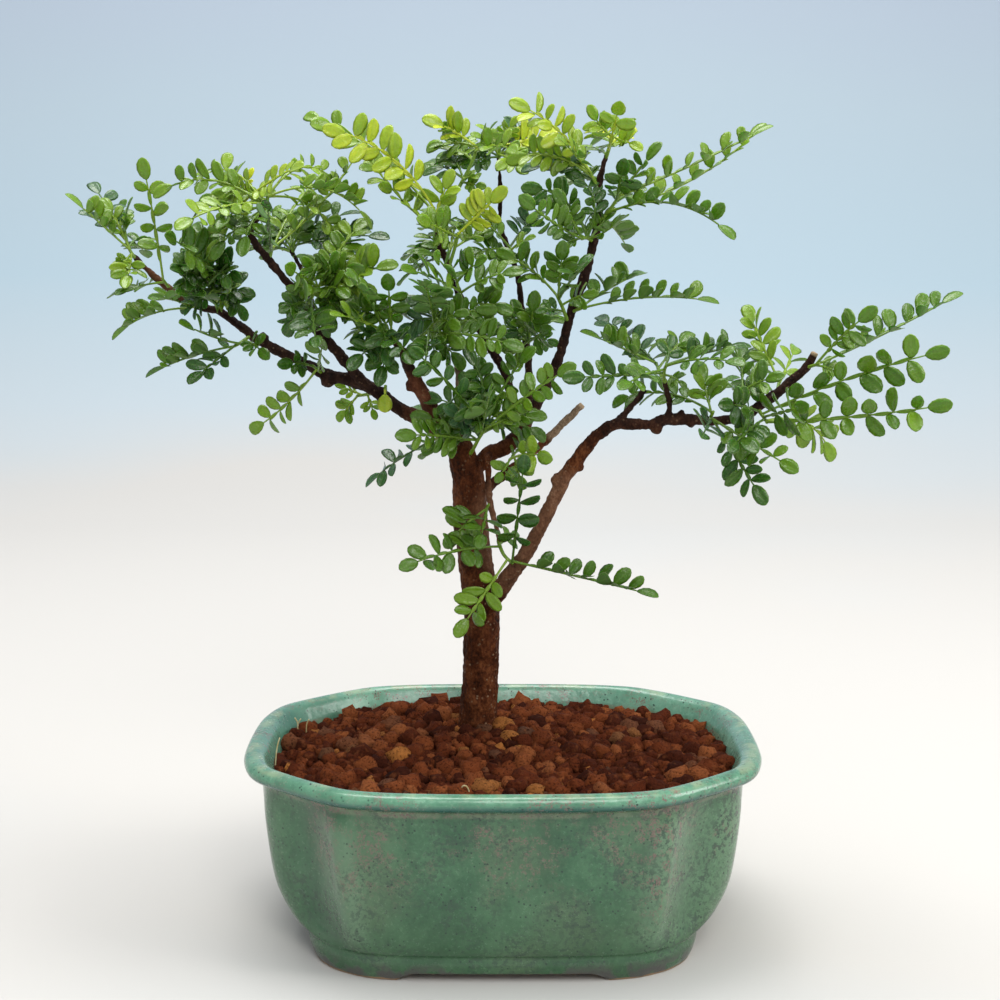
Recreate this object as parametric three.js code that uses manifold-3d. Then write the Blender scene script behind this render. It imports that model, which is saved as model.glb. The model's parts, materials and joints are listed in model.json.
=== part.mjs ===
import * as THREE from 'three';
import { mergeVertices } from 'three/addons/utils/BufferGeometryUtils.js';
import Module from 'manifold-3d';

// Chinese pepper bonsai in its glazed pot. Millimetres, +X right, +Y away from the viewer, +Z up.
// The origin is on the ground under the middle of the pot.

// Driving dimensions
const POT_HALF_WIDTH = 93.3;
const POT_HALF_DEPTH = 67;
const POT_HEIGHT = 70;
const FOOT_HEIGHT = 3.1;
const DRAIN_RADIUS = 6;
const DRAIN_ACROSS = 36;
const SOIL_TOP = 63;
const MOUND_RISE = 4.5;
const CLOD_PITCH = 9;
const CLOD_RISE = 2.6;
const TRUNK_AWAY = 20;
const TRUNK_RADIUS = 7.8;
const TRUNK_FOOT = 48;
const FIT_GAP = 0.35;
const BLADE_RISE = 1.25;
const RIB_HALF_WIDTH = 0.5;
const TWIG_RADIUS = 1.15;
const TWIG_TIP_RADIUS = 0.8;
const ROOT_SPACING = 1.1;
const LEAFLET = 8.2;

// The tree is laid out as it is seen from in front: across and up are measured on the upright plane
// through the trunk, and away is how far a point then slides back along the line of sight.
const EYE = new THREE.Vector3(-1, -551, 253);

function place(across, up, away) {
  const onPlane = new THREE.Vector3(across, TRUNK_AWAY, up);
  const stretch = (TRUNK_AWAY + away - EYE.y) / (TRUNK_AWAY - EYE.y);
  return onPlane.sub(EYE).multiplyScalar(stretch).add(EYE);
}

const wasm = await Module();
wasm.setup();

function geometryOf(points, triangles) {
  const geometry = new THREE.BufferGeometry();
  geometry.setAttribute('position', new THREE.Float32BufferAttribute(points.flatMap((p) => [p.x, p.y, p.z]), 3));
  geometry.setIndex(triangles.flat());
  return geometry;
}

function solidOf(geometry) {
  const bare = geometry.clone();
  bare.deleteAttribute('normal');
  bare.deleteAttribute('uv');
  const merged = mergeVertices(bare, 1e-4);
  return new wasm.Manifold(new wasm.Mesh({
    numProp: 3,
    vertProperties: Float32Array.from(merged.attributes.position.array),
    triVerts: Uint32Array.from(merged.index.array),
  }));
}

function largestBody(solid) {
  const bodies = solid.decompose();
  return bodies.reduce((best, body) => (body.volume() > best.volume() ? body : best));
}

function meshOf(name, solid, material) {
  const { vertProperties, triVerts } = solid.getMesh();
  const geometry = new THREE.BufferGeometry();
  geometry.setAttribute('position', new THREE.Float32BufferAttribute(vertProperties, 3));
  geometry.setIndex(Array.from(triVerts));
  geometry.computeVertexNormals();
  const mesh = new THREE.Mesh(geometry, material);
  mesh.name = name;
  return mesh;
}

// A skin stretched over closed rings of points, ends filled with fans. Rings run anticlockwise
// as seen from the last ring.
function skinOver(rings) {
  const sides = rings[0].length;
  const points = rings.flat();
  const triangles = [];
  for (let ring = 0; ring + 1 < rings.length; ring += 1) {
    for (let side = 0; side < sides; side += 1) {
      const next = (side + 1) % sides;
      const low = ring * sides;
      const high = low + sides;
      triangles.push([low + side, low + next, high + next], [low + side, high + next, high + side]);
    }
  }
  const last = (rings.length - 1) * sides;
  for (let side = 1; side + 1 < sides; side += 1) {
    triangles.push([0, side + 1, side], [last, last + side, last + side + 1]);
  }
  return solidOf(geometryOf(points, triangles));
}

// Pot
// One quarter of the plan, in parts of the half width and half depth: nearly straight walls
// with slanted corner panels between them. The foot's plan is squarer.
const PLAN_QUARTER = [
  [1, 0.16], [0.985, 0.36], [0.94, 0.545], [0.85, 0.675], [0.66, 0.875], [0.52, 0.955], [0.25, 0.993],
];
const FOOT_QUARTER = [
  [1, 0.2], [0.985, 0.5], [0.95, 0.68], [0.885, 0.8], [0.79, 0.89], [0.62, 0.97], [0.3, 0.998],
];

function planRing(halfWidth, halfDepth, height, squareness) {
  const quarter = PLAN_QUARTER.map(([x, y], index) => [
    THREE.MathUtils.lerp(x, FOOT_QUARTER[index][0], squareness) * halfWidth,
    THREE.MathUtils.lerp(y, FOOT_QUARTER[index][1], squareness) * halfDepth,
  ]);
  const back = [...quarter].reverse();
  const turn = [
    ...quarter,
    ...back.map(([x, y]) => [-x, y]),
    ...quarter.map(([x, y]) => [-x, -y]),
    ...back.map(([x, y]) => [x, -y]),
  ];
  return turn.map(([x, y]) => new THREE.Vector3(x, y, height));
}

// Wall sections: height, how far the wall stands in from the rim at the sides and at the front,
// and how far its plan is the foot's.
const OUTER_WALL = [
  [FOOT_HEIGHT, 23.6, 10.4, 1], [8, 22.4, 9.8, 1], [13, 16.4, 7.9, 0.35], [20, 11.8, 6.4, 0], [33, 8.5, 5.4, 0],
  [61.5, 5.9, 4.7, 0], [64.3, 2.1, 1.8, 0], [67, 0, 0, 0], [69.1, 0.8, 0.8, 0], [POT_HEIGHT, 2.9, 2.6, 0],
];
const INNER_WALL = [
  [8.5, 28.5, 17, 0], [14, 21.8, 13.5, 0], [22, 17, 11.6, 0], [60, 11, 8.8, 0], [68.6, 7.2, 5.8, 0],
  [POT_HEIGHT + 0.6, 5.2, 4.4, 0],
];
const FOOT_WALL = 12.5;
const FOOT_GAP_WIDTH = 68;
const FOOT_GAP_DEPTH = 52;

function wallSkin(sections, inset) {
  return skinOver(sections.map(([height, side, front, squareness]) => (
    planRing(POT_HALF_WIDTH - side - inset, POT_HALF_DEPTH - front - inset, height, squareness))));
}

function boxSolid(width, depth, height, x, y, z) {
  return solidOf(new THREE.BoxGeometry(width, depth, height).translate(x, y, z));
}

function rodSolid(radius, height, sides, x, y, z) {
  return solidOf(new THREE.CylinderGeometry(radius, radius, height, sides).rotateX(Math.PI / 2).translate(x, y, z));
}

// Four low feet: what two crossing gaps leave of a foot ring that is hollow inside.
function feet() {
  const [, side, front] = OUTER_WALL[0];
  const sunk = FOOT_HEIGHT + 1.5;
  const ring = wallSkin([[0, side + 1.1, front + 0.9, 1], [sunk, side, front, 1]], 0);
  const hollow = wallSkin([[-1, side, front, 1], [sunk + 1, side, front, 1]], FOOT_WALL);
  return ring.subtract(hollow)
    .subtract(boxSolid(FOOT_GAP_WIDTH, 2 * POT_HALF_DEPTH, 4 * sunk, 0, 0, 0))
    .subtract(boxSolid(2 * POT_HALF_WIDTH, FOOT_GAP_DEPTH, 4 * sunk, 0, 0, 0));
}

function pot() {
  const wall = wallSkin(OUTER_WALL, 0).subtract(wallSkin(INNER_WALL, 0));
  const drains = [-1, 1].map((side) => rodSolid(DRAIN_RADIUS, 30, 12, side * DRAIN_ACROSS, 0, 5));
  return wall.add(feet()).subtract(drains[0]).subtract(drains[1]);
}

// Plastic mesh over a drainage hole: a square sheet with crossing slots of air.
const MESH_SIZE = 20;
const MESH_THICK = 1;
const MESH_HOLE = 2.6;
const MESH_PITCH = 4;
const POT_FLOOR = INNER_WALL[0][0];

function drainMesh(side) {
  const height = POT_FLOOR + FIT_GAP + MESH_THICK / 2;
  let sheet = boxSolid(MESH_SIZE, MESH_SIZE, MESH_THICK, side * DRAIN_ACROSS, 0, height);
  for (const column of [-1, 0, 1]) {
    for (const row of [-1, 0, 1]) {
      const x = side * DRAIN_ACROSS + column * MESH_PITCH;
      sheet = sheet.subtract(boxSolid(MESH_HOLE, MESH_HOLE, 3 * MESH_THICK, x, row * MESH_PITCH, height));
    }
  }
  return sheet;
}

// Soil
// Any random draw comes from this one rule, so that each build gives the same tree.
function chance(seed) {
  const wave = Math.sin(seed * 12.9898 + 4.1414) * 43758.5453;
  return wave - Math.floor(wave);
}

const TRUNK_BASE = place(-9.4, 66, 0);

function soilHeight(x, y) {
  const nearTrunk = Math.exp(-((x - TRUNK_BASE.x) ** 2 + (y - TRUNK_BASE.y) ** 2) / (2 * 26 ** 2));
  return SOIL_TOP + MOUND_RISE * nearTrunk;
}

// The bed fills the pot. Its top is raised in clods, one point in three of a triangular grid high.
function soil() {
  const columns = Math.ceil(2 * POT_HALF_WIDTH / CLOD_PITCH) + 1;
  const rowPitch = CLOD_PITCH * Math.sqrt(3) / 2;
  const rows = Math.ceil(2 * POT_HALF_DEPTH / rowPitch) + 1;
  const points = [];
  const triangles = [];
  for (let row = 0; row < rows; row += 1) {
    for (let column = 0; column < columns; column += 1) {
      const seed = row * columns + column;
      const shift = (row % 2) * CLOD_PITCH / 2;
      const x = -POT_HALF_WIDTH + column * CLOD_PITCH + shift + (chance(seed) - 0.5) * 2.2;
      const y = -POT_HALF_DEPTH + row * rowPitch + (chance(seed + 0.3) - 0.5) * 2.2;
      const crest = (column + (row % 2 ? 2 : 0) + row - (row % 2)) % 3 === 0;
      const rise = crest ? CLOD_RISE * (0.6 + 0.4 * chance(seed + 0.6)) : -CLOD_RISE * 0.4 * chance(seed + 0.6);
      points.push(new THREE.Vector3(x, y, soilHeight(x, y) + rise - 0.8));
    }
  }
  const floorStart = points.length;
  for (let index = 0; index < floorStart; index += 1) {
    points.push(new THREE.Vector3(points[index].x, points[index].y, 0));
  }
  const both = (a, b, c) => {
    triangles.push([a, b, c], [floorStart + a, floorStart + c, floorStart + b]);
  };
  for (let row = 0; row + 1 < rows; row += 1) {
    for (let column = 0; column + 1 < columns; column += 1) {
      const a = row * columns + column;
      const b = a + 1;
      const c = a + columns;
      const d = c + 1;
      if (row % 2) {
        both(a, b, d);
        both(a, d, c);
      } else {
        both(a, b, c);
        both(b, d, c);
      }
    }
  }
  const rim = [];
  for (let column = 0; column < columns; column += 1) rim.push(column);
  for (let row = 1; row < rows; row += 1) rim.push(row * columns + columns - 1);
  for (let column = columns - 2; column >= 0; column -= 1) rim.push((rows - 1) * columns + column);
  for (let row = rows - 2; row > 0; row -= 1) rim.push(row * columns);
  rim.forEach((here, index) => {
    const next = rim[(index + 1) % rim.length];
    triangles.push([here, floorStart + here, floorStart + next], [here, floorStart + next, next]);
  });
  const bed = solidOf(geometryOf(points, triangles));
  const [lowest, ...others] = INNER_WALL;
  const inside = [[lowest[0] + FIT_GAP, ...lowest.slice(1)], ...others];
  let body = bed.intersect(wallSkin(inside, FIT_GAP));
  const holeTop = SOIL_TOP + 2 * MOUND_RISE;
  const holeFoot = TRUNK_FOOT - FIT_GAP;
  body = body.subtract(rodSolid(TRUNK_RADIUS + FIT_GAP, holeTop - holeFoot, 12, TRUNK_BASE.x, TRUNK_BASE.y,
    (holeTop + holeFoot) / 2));
  for (const side of [-1, 1]) {
    const pocket = MESH_SIZE + 2 * FIT_GAP;
    const top = POT_FLOOR + 2 * FIT_GAP + MESH_THICK;
    body = body.subtract(boxSolid(pocket, pocket, 8, side * DRAIN_ACROSS, 0, top - 4));
  }
  return largestBody(body);
}

// Wood
// Each limb is a row of stations: across, up, away, radius.
const LIMBS = {
  trunk: [
    [-9.4, 66, 0, TRUNK_RADIUS], [-9.3, 71, 0, 7.3], [-8.4, 88, 0, 6.9], [-8.2, 114, 0, 6.8], [-11.6, 142, 0, 6.5],
    [-12.2, 155, -0.5, 6.5], [-13.2, 164, -1, 6.0], [-15.4, 172, -1.5, 5.2], [-17.8, 179.5, -2, 4.2],
  ],
  front_limb: [
    [-14, 172, -3, 3.6], [-21, 181, -6, 3.2], [-26, 188, -9, 2.9], [-34.2, 203, -13, 2.1],
    [-36.2, 208.5, -14, 1.8], [-40.5, 214.5, -15, 1.2],
  ],
  front_fork: [[-35.6, 206.5, -14, 1.6], [-33.6, 211, -15, 1.5], [-29.8, 215.4, -16.5, 1.0]],
  left_limb: [
    [-14, 170, -1, 3.9], [-22, 180, 1, 3.1], [-38, 188.5, 5, 2.6], [-47, 195.5, 6, 2.6], [-56, 199.3, 7, 2.5],
    [-65, 201.2, 8, 2.3], [-72, 205, 8, 2.0], [-88, 212.8, 10, 1.8], [-96, 218.8, 10, 1.6],
    [-104, 224.5, 10, 1.5], [-113, 226.8, 11, 1.4], [-125, 235.2, 12, 1.3], [-134.6, 244.8, 13, 0.9],
  ],
  upper_left: [
    [-50, 196.5, 6, 2.2], [-63, 212, 1, 1.9], [-68.5, 218, -2, 1.8], [-76.7, 232.3, -6, 1.6],
    [-88.5, 247, -10, 1.5], [-91.6, 252.6, -11, 1.3], [-90, 257, -11, 1.1], [-86.5, 260.5, -12, 0.9],
  ],
  thin_left: [[-69.5, 219.5, -2, 1.3], [-70.3, 229, 5, 1.1], [-72, 237, 9, 1.0], [-77, 246.5, 14, 0.7]],
  second_leader: [[-12, 165, 1, 3.4], [-5, 171.5, 3, 3.0], [1.5, 174.5, 4, 2.9], [6.5, 180, 5, 2.8], [9.3, 187, 6, 2.4]],
  centre_left: [
    [6.5, 180, 5, 2.0], [4.3, 189, 4, 1.9], [0.5, 202, 0, 1.7], [-9, 218.4, -6, 1.4], [-13, 223.5, -8, 1.35],
    [-19.4, 240, -11, 1.2], [-24, 251, -12, 0.9], [-23.6, 258.7, -12, 0.7],
  ],
  centre: [
    [9.3, 184, 6, 2.0], [9.6, 204, 14, 1.6], [7.4, 222, 19, 1.3], [5.0, 239.5, 22, 1.2], [-0.6, 254.5, 24, 1.0],
    [-0.8, 266, 24, 0.9], [-1.5, 279.5, 24, 0.7],
  ],
  centre_right: [
    [8.2, 183, 5, 2.4], [12.5, 190.5, 2, 2.2], [20.2, 206, -3, 1.9], [25, 223.7, -5, 1.7], [30.5, 239.5, -7, 1.7],
    [34.3, 255, -8, 1.5], [35.2, 262, -9, 1.5], [34.8, 269.7, -9, 1.4], [37.4, 281, -10, 0.8],
  ],
  right_limb: [
    [-8, 110, -2, 3.8], [-3, 117.5, -6, 3.5], [9, 134.5, -12, 2.9], [18.8, 154, -17, 2.6], [23.2, 163, -19, 2.8],
    [31.6, 174.8, -22, 2.3], [36.7, 180.2, -24, 2.2], [43, 183.2, -26, 2.1], [54, 182.7, -28, 1.9],
    [62, 184.8, -29, 2.0], [79, 184.2, -31, 1.7], [87, 185.5, -32, 1.7], [96, 190.3, -33, 1.8],
    [110.5, 202.6, -33, 1.7], [115, 209.3, -34, 1.2],
  ],
  right_spur: [[60.5, 184.5, -29, 1.5], [61.7, 190, -29, 1.1], [59.3, 200, -30, 0.8]],
  right_stick: [[41, 182.5, -26, 1.3], [48.5, 190.5, -22, 1.1], [52.3, 196, -21, 1.1]],
  end_spur: [[86, 185.2, -32, 1.3], [86, 192.5, -32, 0.9]],
  cut_stub: [[-7, 158, 3, 2.2], [3, 166, 9, 1.7], [12.5, 173.6, 13, 1.5], [29.7, 190.3, 17, 1.5]],
  old_apex: [[-16.4, 174, 1, 3.6], [-15.6, 186, 5, 3.0], [-15.4, 195, 6, 2.2], [-16.2, 205.5, 7, 1.4]],
  low_twig: [
    [-5.4, 171.6, 2, 1.5], [-5.6, 167, -6, 1.4], [-4.6, 153.6, -9, 1.1], [-1.6, 141, -10, 0.8],
    [-1.2, 136.5, -10, 0.6],
  ],
};

// Old bud scars and pruning knots: across, up, away, radius.
const KNOTS = [
  [-64.5, 199, 7, 2.8], [-88, 214.4, 10, 2.4], [-33.5, 197.5, -11, 2.6], [20.6, 161.6, -18.5, 3.0],
  [57, 181.4, -28.5, 2.4], [-7.4, 158.5, -1.5, 3.0],
];

function limb(stations, sides, spare) {
  const middles = stations.map(([across, up, away]) => place(across, up, away));
  const rings = [];
  let side = new THREE.Vector3(0, -1, 0);
  middles.forEach((middle, index) => {
    const before = middles[Math.max(index - 1, 0)];
    const after = middles[Math.min(index + 1, middles.length - 1)];
    const along = after.clone().sub(before).normalize();
    side = side.clone().addScaledVector(along, -side.dot(along)).normalize();
    const other = along.clone().cross(side);
    const radius = stations[index][3] + spare;
    const ring = [];
    for (let step = 0; step < sides; step += 1) {
      const angle = step * 2 * Math.PI / sides;
      ring.push(middle.clone()
        .addScaledVector(side, radius * Math.cos(angle))
        .addScaledVector(other, radius * Math.sin(angle)));
    }
    rings.push(ring);
  });
  return skinOver(rings);
}

function wood(spare) {
  const parts = Object.entries(LIMBS).map(([name, stations]) => {
    const sides = { trunk: 10, right_limb: 6, left_limb: 5, front_limb: 5, second_leader: 5 }[name] ?? 4;
    return limb(stations, sides, spare);
  });
  for (const [across, up, away, radius] of KNOTS) {
    const middle = place(across, up, away);
    parts.push(solidOf(new THREE.OctahedronGeometry(radius + spare, 0).rotateX(0.5).rotateZ(0.4)
      .translate(middle.x, middle.y, middle.z)));
  }
  const buried = TRUNK_BASE.z + 1 - TRUNK_FOOT;
  parts.push(rodSolid(TRUNK_RADIUS - 0.2, buried, 10, TRUNK_BASE.x, TRUNK_BASE.y, TRUNK_FOOT + buried / 2));
  return wasm.Manifold.union(parts);
}

// Leafy shoots
// A frond row is: the station of the twig where it leaves (0 is the first, 1.5 is halfway from the
// second to the third), then across, up and away of its tip, its pairs of leaflets, how far its upper
// face turns to the viewer in degrees, and how far its rib bows upwards.
const SHOOTS = {
  left_end: {
    twig: [[-133.6, 243.5, 12.5], [-135.6, 246.6, 13], [-136.8, 250, 14]],
    fronds: [
      [1, -158, 267, 8, 4, 60, 0], [2, -149, 271, 34, 3, 40, 1], [1, -138, 233, -2, 3, 85, -1],
      [2, -134, 266, 42, 4, 35, 2], [1.5, -129, 244, 40, 3, 30, 2],
    ],
  },
  left_upright: {
    twig: [[-121.5, 232.6, 11.5], [-124.2, 236.4, 8]],
    fronds: [[1, -130, 279.5, 6, 4, 90, 1], [0.6, -144.8, 229.5, -2, 4, 20, 1]],
  },
  left_low: {
    twig: [[-112, 226.6, 11], [-116, 225.4, 7]],
    fronds: [[1, -144, 214, 2, 5, 35, 3], [0.5, -128, 229, -26, 3, 30, 1]],
  },
  left_under: {
    twig: [[-92, 215.8, 10], [-97, 212.6, 5], [-99, 211.6, 3]],
    fronds: [
      [1, -118.5, 220.5, -8, 3, 55, -1], [2, -132, 200.5, 2, 5, 85, 1.5], [1.6, -116, 198, -10, 3, 35, 0],
      [0.6, -86, 207, -14, 3, 75, 1],
    ],
  },
  left_dark: {
    twig: [[-104, 224.6, 10], [-106, 231, 1], [-105, 239, -5]],
    fronds: [
      [0.6, -119, 231, -12, 3, 70, 1], [1.4, -121, 240, -14, 4, 60, 1], [2, -122.5, 252, -10, 4, 70, 1],
      [2, -95, 235, -24, 3, 75, 3], [1, -90, 230, -18, 3, 60, 2], [0.5, -98, 228.5, -22, 3, 70, 1],
      [1.5, -113, 246, -34, 3, 45, 2],
    ],
  },
  left_crown: {
    twig: [[-87.4, 259.6, -11.8], [-85.4, 263, -12.5], [-85, 266, -14]],
    fronds: [
      [1, -119, 254, -24, 5, 55, 3], [2, -46, 252.5, -6, 6, 50, 9], [1, -128, 265, -2, 5, 55, 8],
      [1, -106, 243, -46, 4, 50, 2],
    ],
  },
  left_top: {
    twig: [[-91.4, 253.4, -10], [-93.4, 260, -6], [-93.6, 267, -4]],
    fronds: [
      [2, -90, 276, -4, 2, 60, 0], [2, -100.5, 275, 0, 2, 70, 0], [1.7, -72, 277, -8, 5, 55, 1],
      [1.2, -112, 263, -24, 4, 25, 0], [1.4, -82, 268, -28, 3, 80, 0], [1, -104, 268, 26, 4, 40, 3],
    ],
  },
  left_long: {
    twig: [[-85, 243, -9], [-83.6, 248, -10]],
    fronds: [[1, -50.5, 284, -14, 6, 60, -3], [1, -85, 264, -26, 2, 80, 0], [0.8, -64, 273, 8, 5, 35, 4]],
  },
  thin_left_tip: {
    twig: [[-76, 244.6, 13], [-77.4, 249, 15]],
    fronds: [
      [0.7, -41, 251, 4, 5, 40, 2], [1, -88, 262, 34, 4, 40, 2], [1, -66, 262, 36, 4, 35, 2],
      [0.5, -95, 246, 38, 4, 30, 2],
    ],
  },
  mid_left: {
    twig: [[-72.4, 224.8, -4], [-68.6, 231.6, -12], [-66, 235, -16]],
    fronds: [
      [1.6, -38, 241.5, -20, 5, 55, 1], [1, -45, 229, -28, 4, 70, 2], [2, -60, 246, -24, 3, 60, 0],
      [1, -52, 222.5, -34, 4, 55, 2], [1.4, -79, 241, -32, 3, 80, 0], [0.6, -68.5, 211.5, -18, 3, 85, 0],
      [0.5, -82, 224, -26, 3, 70, 1],
    ],
  },
  left_round: {
    twig: [[-66, 201.4, 8], [-70, 204.6, 1]],
    fronds: [
      [1, -83, 205, -10, 3, 85, 1], [0.6, -94, 180, 20, 4, 80, -2], [1, -66, 214, -12, 2, 80, 0],
    ],
  },
  hang_pale: {
    twig: [[-46, 194.8, 6], [-50, 194, 14], [-54, 193.4, 16]],
    fronds: [[2, -61.5, 184, 20, 3, 70, 0], [1, -47, 184.5, 20, 2, 70, 0], [1.5, -62, 198, 30, 2, 60, 0]],
  },
  yellow_leaflet: {
    twig: [[-43.4, 192, 5.5], [-43.2, 197, -2], [-43.5, 195.6, -4]],
    fronds: [[2, -43.6, 187.2, -5, 0, 90, 0]],
  },
  front_left: {
    twig: [[-40, 213.8, -15], [-43.6, 217, -18], [-45, 221, -20]],
    fronds: [
      [1, -63, 223.5, -26, 4, 35, 1], [0.6, -57, 203, -30, 4, 70, 1], [1, -46, 197, -34, 3, 85, 0],
      [2, -57, 238, -40, 4, 50, 1], [1.4, -33, 205.5, -44, 3, 75, 1], [2, -42, 238, -34, 3, 60, 1],
    ],
  },
  front_right: {
    twig: [[-30.4, 214.8, -16.4], [-27, 218, -19], [-24, 222, -21]],
    fronds: [
      [0.5, 8, 210.5, -26, 6, 65, 2], [2, -44, 223, -24, 4, 45, 2], [1, -29, 201, -36, 3, 85, 0],
      [2, -29, 236, -60, 4, 40, 1], [1.5, -12, 224, -44, 4, 60, 1], [1.2, -14, 203, -38, 4, 70, 1],
    ],
  },
  low_front: {
    twig: [[-12, 172, -5.5], [-8.6, 178, -13], [-6, 181.6, -17]],
    fronds: [
      [0.8, -40, 178.5, -24, 6, 75, 1], [2, 27, 205, -32, 6, 70, 1], [1.8, -34, 211, -28, 4, 88, 2],
      [2, -8.5, 208, -22, 4, 90, 0], [1.4, 17, 176, -26, 3, 60, 5], [2, -4, 196, -44, 3, 60, 1],
      [1, -22, 190, -36, 3, 70, 1],
    ],
  },
  low_right: {
    twig: [[3, 175.4, 3.5], [4, 171.5, -6], [2.5, 169.4, -14]],
    fronds: [
      [2, 18.5, 169.5, -22, 3, 80, 2], [2, -2.5, 161, -22, 2, 88, 0], [1.4, 11, 179, -20, 2, 70, 0],
      [1, 8, 158, -6, 2, 85, 0],
    ],
  },
  left_teal: {
    twig: [[-17, 176.5, 1], [-21, 178, 8], [-26, 177, 13]],
    fronds: [[2, -51.5, 159.5, 18, 4, 30, 1], [1.5, -33, 190, 34, 3, 40, 1], [1.2, -30, 170, 40, 3, 30, 1]],
  },
  low_left: {
    twig: [[-4.6, 153.6, -9], [-6.4, 150.5, -12]],
    fronds: [[1, -22, 136, -14, 3, 80, 1], [1, -9, 136, -22, 2, 80, 0]],
  },
  low_end: {
    twig: [[-1.6, 138.6, -10], [0.4, 133.5, -13], [4, 130, -15]],
    fronds: [
      [0.4, -39, 128, -20, 5, 60, 2], [2, 8.2, 171.5, -17, 4, 90, 0], [2, 59, 117.5, -20, 7, 55, 0],
      [1.6, -18, 101.5, -26, 4, 75, 0], [0.3, 6, 142, -30, 1, 70, 0],
    ],
  },
  centre_fan: {
    twig: [[-14.4, 226.4, -8.5], [-15.8, 231.6, -16], [-17, 236, -18]],
    fronds: [
      [1, -37, 240, -24, 4, 50, 1], [0.6, -38, 227, -26, 3, 60, 1], [1, 8, 239, -22, 4, 45, 2],
      [2, -25, 245, -30, 2, 75, 0], [0.5, -31, 216.5, -34, 4, 60, 1], [2, -6, 243.5, -34, 3, 60, 1],
      [0.3, -24, 219, -26, 2, 75, 0], [0.5, 4, 224, -34, 3, 70, 1],
    ],
  },
  centre_left_back: {
    twig: [[-19, 239, -10.6], [-20, 243, 0], [-19, 247, 8]],
    fronds: [
      [1, -36, 246, 14, 3, 30, 1], [2, -28, 262, 30, 4, 40, 2], [2, -10, 258, 32, 4, 35, 2],
      [1.5, -38, 234, 34, 4, 35, 2],
    ],
  },
  upper_star: {
    twig: [[-19.6, 240.4, -11], [-17.4, 247.5, -14], [-16, 253, -16]],
    fronds: [[2, 1.5, 269, -26, 5, 80, 0], [1, -5.5, 254.5, -18, 3, 40, 0], [2, -31, 258, -40, 4, 75, 0]],
  },
  left_arch: {
    twig: [[-23.9, 252, -12], [-24.6, 256.5, -13], [-25, 262, -14]],
    fronds: [
      [0.3, -52, 285, -12, 5, 40, -2], [2, -65.5, 290, -18, 6, 85, 6], [1.6, -71.5, 294.5, 4, 4, 70, 5],
      [2, -18, 275.5, -20, 2, 75, 0],
    ],
  },
  top_left: {
    twig: [[-23.6, 257, -12], [-17, 267, -8], [-11.5, 277, -7], [-9, 284, -7]],
    fronds: [
      [3, -29, 293.5, -8, 4, 70, 1], [3, -2, 292.5, -9, 2, 20, 0], [2.8, 5, 281.5, -14, 3, 70, 2],
      [1.5, -28, 278, 10, 3, 50, 1], [1.6, -6, 269, -20, 3, 80, 0], [2.2, -20, 283, 28, 4, 40, 1],
    ],
  },
  centre_top: {
    twig: [[-1.5, 279, 24], [-1.2, 282, 23.6], [-1, 285.5, 23]],
    fronds: [
      [2, 5.5, 294, 20, 3, 70, 0], [1.5, 20, 289.5, 16, 4, 60, -1], [2, 9.5, 294.5, 40, 3, 40, 0],
      [0.5, 9, 274, 10, 3, 80, 1], [0.8, -15, 276, 14, 3, 70, 1], [1.2, -12, 288, 40, 4, 40, 2],
      [0.8, 12, 280, 42, 4, 35, 2],
    ],
  },
  centre_mid: {
    twig: [[2, 246.5, 23], [2.6, 247.4, 12], [3, 246, 6]],
    fronds: [
      [1.6, -15, 245, 2, 4, 40, 1], [2, 12, 251.5, 0, 3, 45, 1], [2, -4, 243, -8, 2, 70, 0],
      [2, 9, 240, -10, 2, 80, 0], [1, 15, 261, 26, 4, 20, 1], [1.5, -14, 262, 12, 4, 45, 1],
    ],
  },
  centre_low: {
    twig: [[8.6, 217.6, 18], [9.4, 214.5, 8], [9.6, 213, 2]],
    fronds: [
      [2, 17.5, 219, -6, 2, 88, 0], [2, 1.5, 222, -6, 3, 80, 0], [1, 21, 212, 6, 3, 70, 1],
      [1.4, 2, 203, -4, 3, 70, 1], [2, 12, 232, -8, 3, 80, 0], [1, -10, 208, 20, 4, 45, 1],
      [0.8, 22, 224, 36, 4, 40, 2],
    ],
  },
  right_cross: {
    twig: [[24, 220.4, -5], [21.6, 226.5, -10], [19.6, 230.6, -14]],
    fronds: [
      [2, -2.5, 246.5, -24, 5, 80, 2], [1, 35, 231, -18, 3, 60, 1], [2, 22, 250, -26, 4, 80, 0],
      [0.6, 12, 224, -20, 2, 40, 1], [1.5, 31, 243, -28, 2, 60, 1],
    ],
  },
  right_pair: {
    twig: [[25.4, 224.4, -5.5], [28.6, 225.4, -8]],
    fronds: [[1, 79.5, 227.6, -12, 6, 60, 3], [0.8, 52, 239, 26, 4, 45, 1]],
  },
  right_fans: {
    twig: [[32.8, 249.5, -8], [30.6, 251, -12], [28.6, 250.6, -15]],
    fronds: [
      [1, 5.5, 269, -22, 5, 85, 6], [2, 6, 266, -34, 5, 88, -1], [1.4, 19, 246, -18, 3, 45, 1],
      [0.6, 45.5, 259.5, -14, 3, 25, -1], [0.5, 27, 260, 2, 2, 80, 0],
    ],
  },
  top_right: {
    twig: [[34.8, 267.6, -9], [33, 271.4, -11], [31.4, 274.4, -12]],
    fronds: [
      [1.4, 1.8, 299.5, -14, 6, 75, 4], [1, 6, 275, 4, 5, 50, 3], [2, 20, 287, 0, 3, 50, 0],
      [1, 24, 270, 30, 4, 40, 2],
    ],
  },
  top_young: {
    twig: [[37.2, 279.6, -10], [38.6, 284, -11], [39.6, 287, -11]],
    fronds: [
      [2, 30.5, 298, -12, 3, 85, -1], [1.6, 32, 291, -16, 2, 60, 0], [2, 48, 290, -12, 2, 80, 0],
      [1, 50.5, 282, -16, 3, 60, 2], [2, 42, 299, -8, 2, 80, 0], [1, 44, 292, 22, 3, 50, 1],
      [0.6, 28, 283, 18, 3, 45, 1],
    ],
  },
  right_sweep: {
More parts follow.
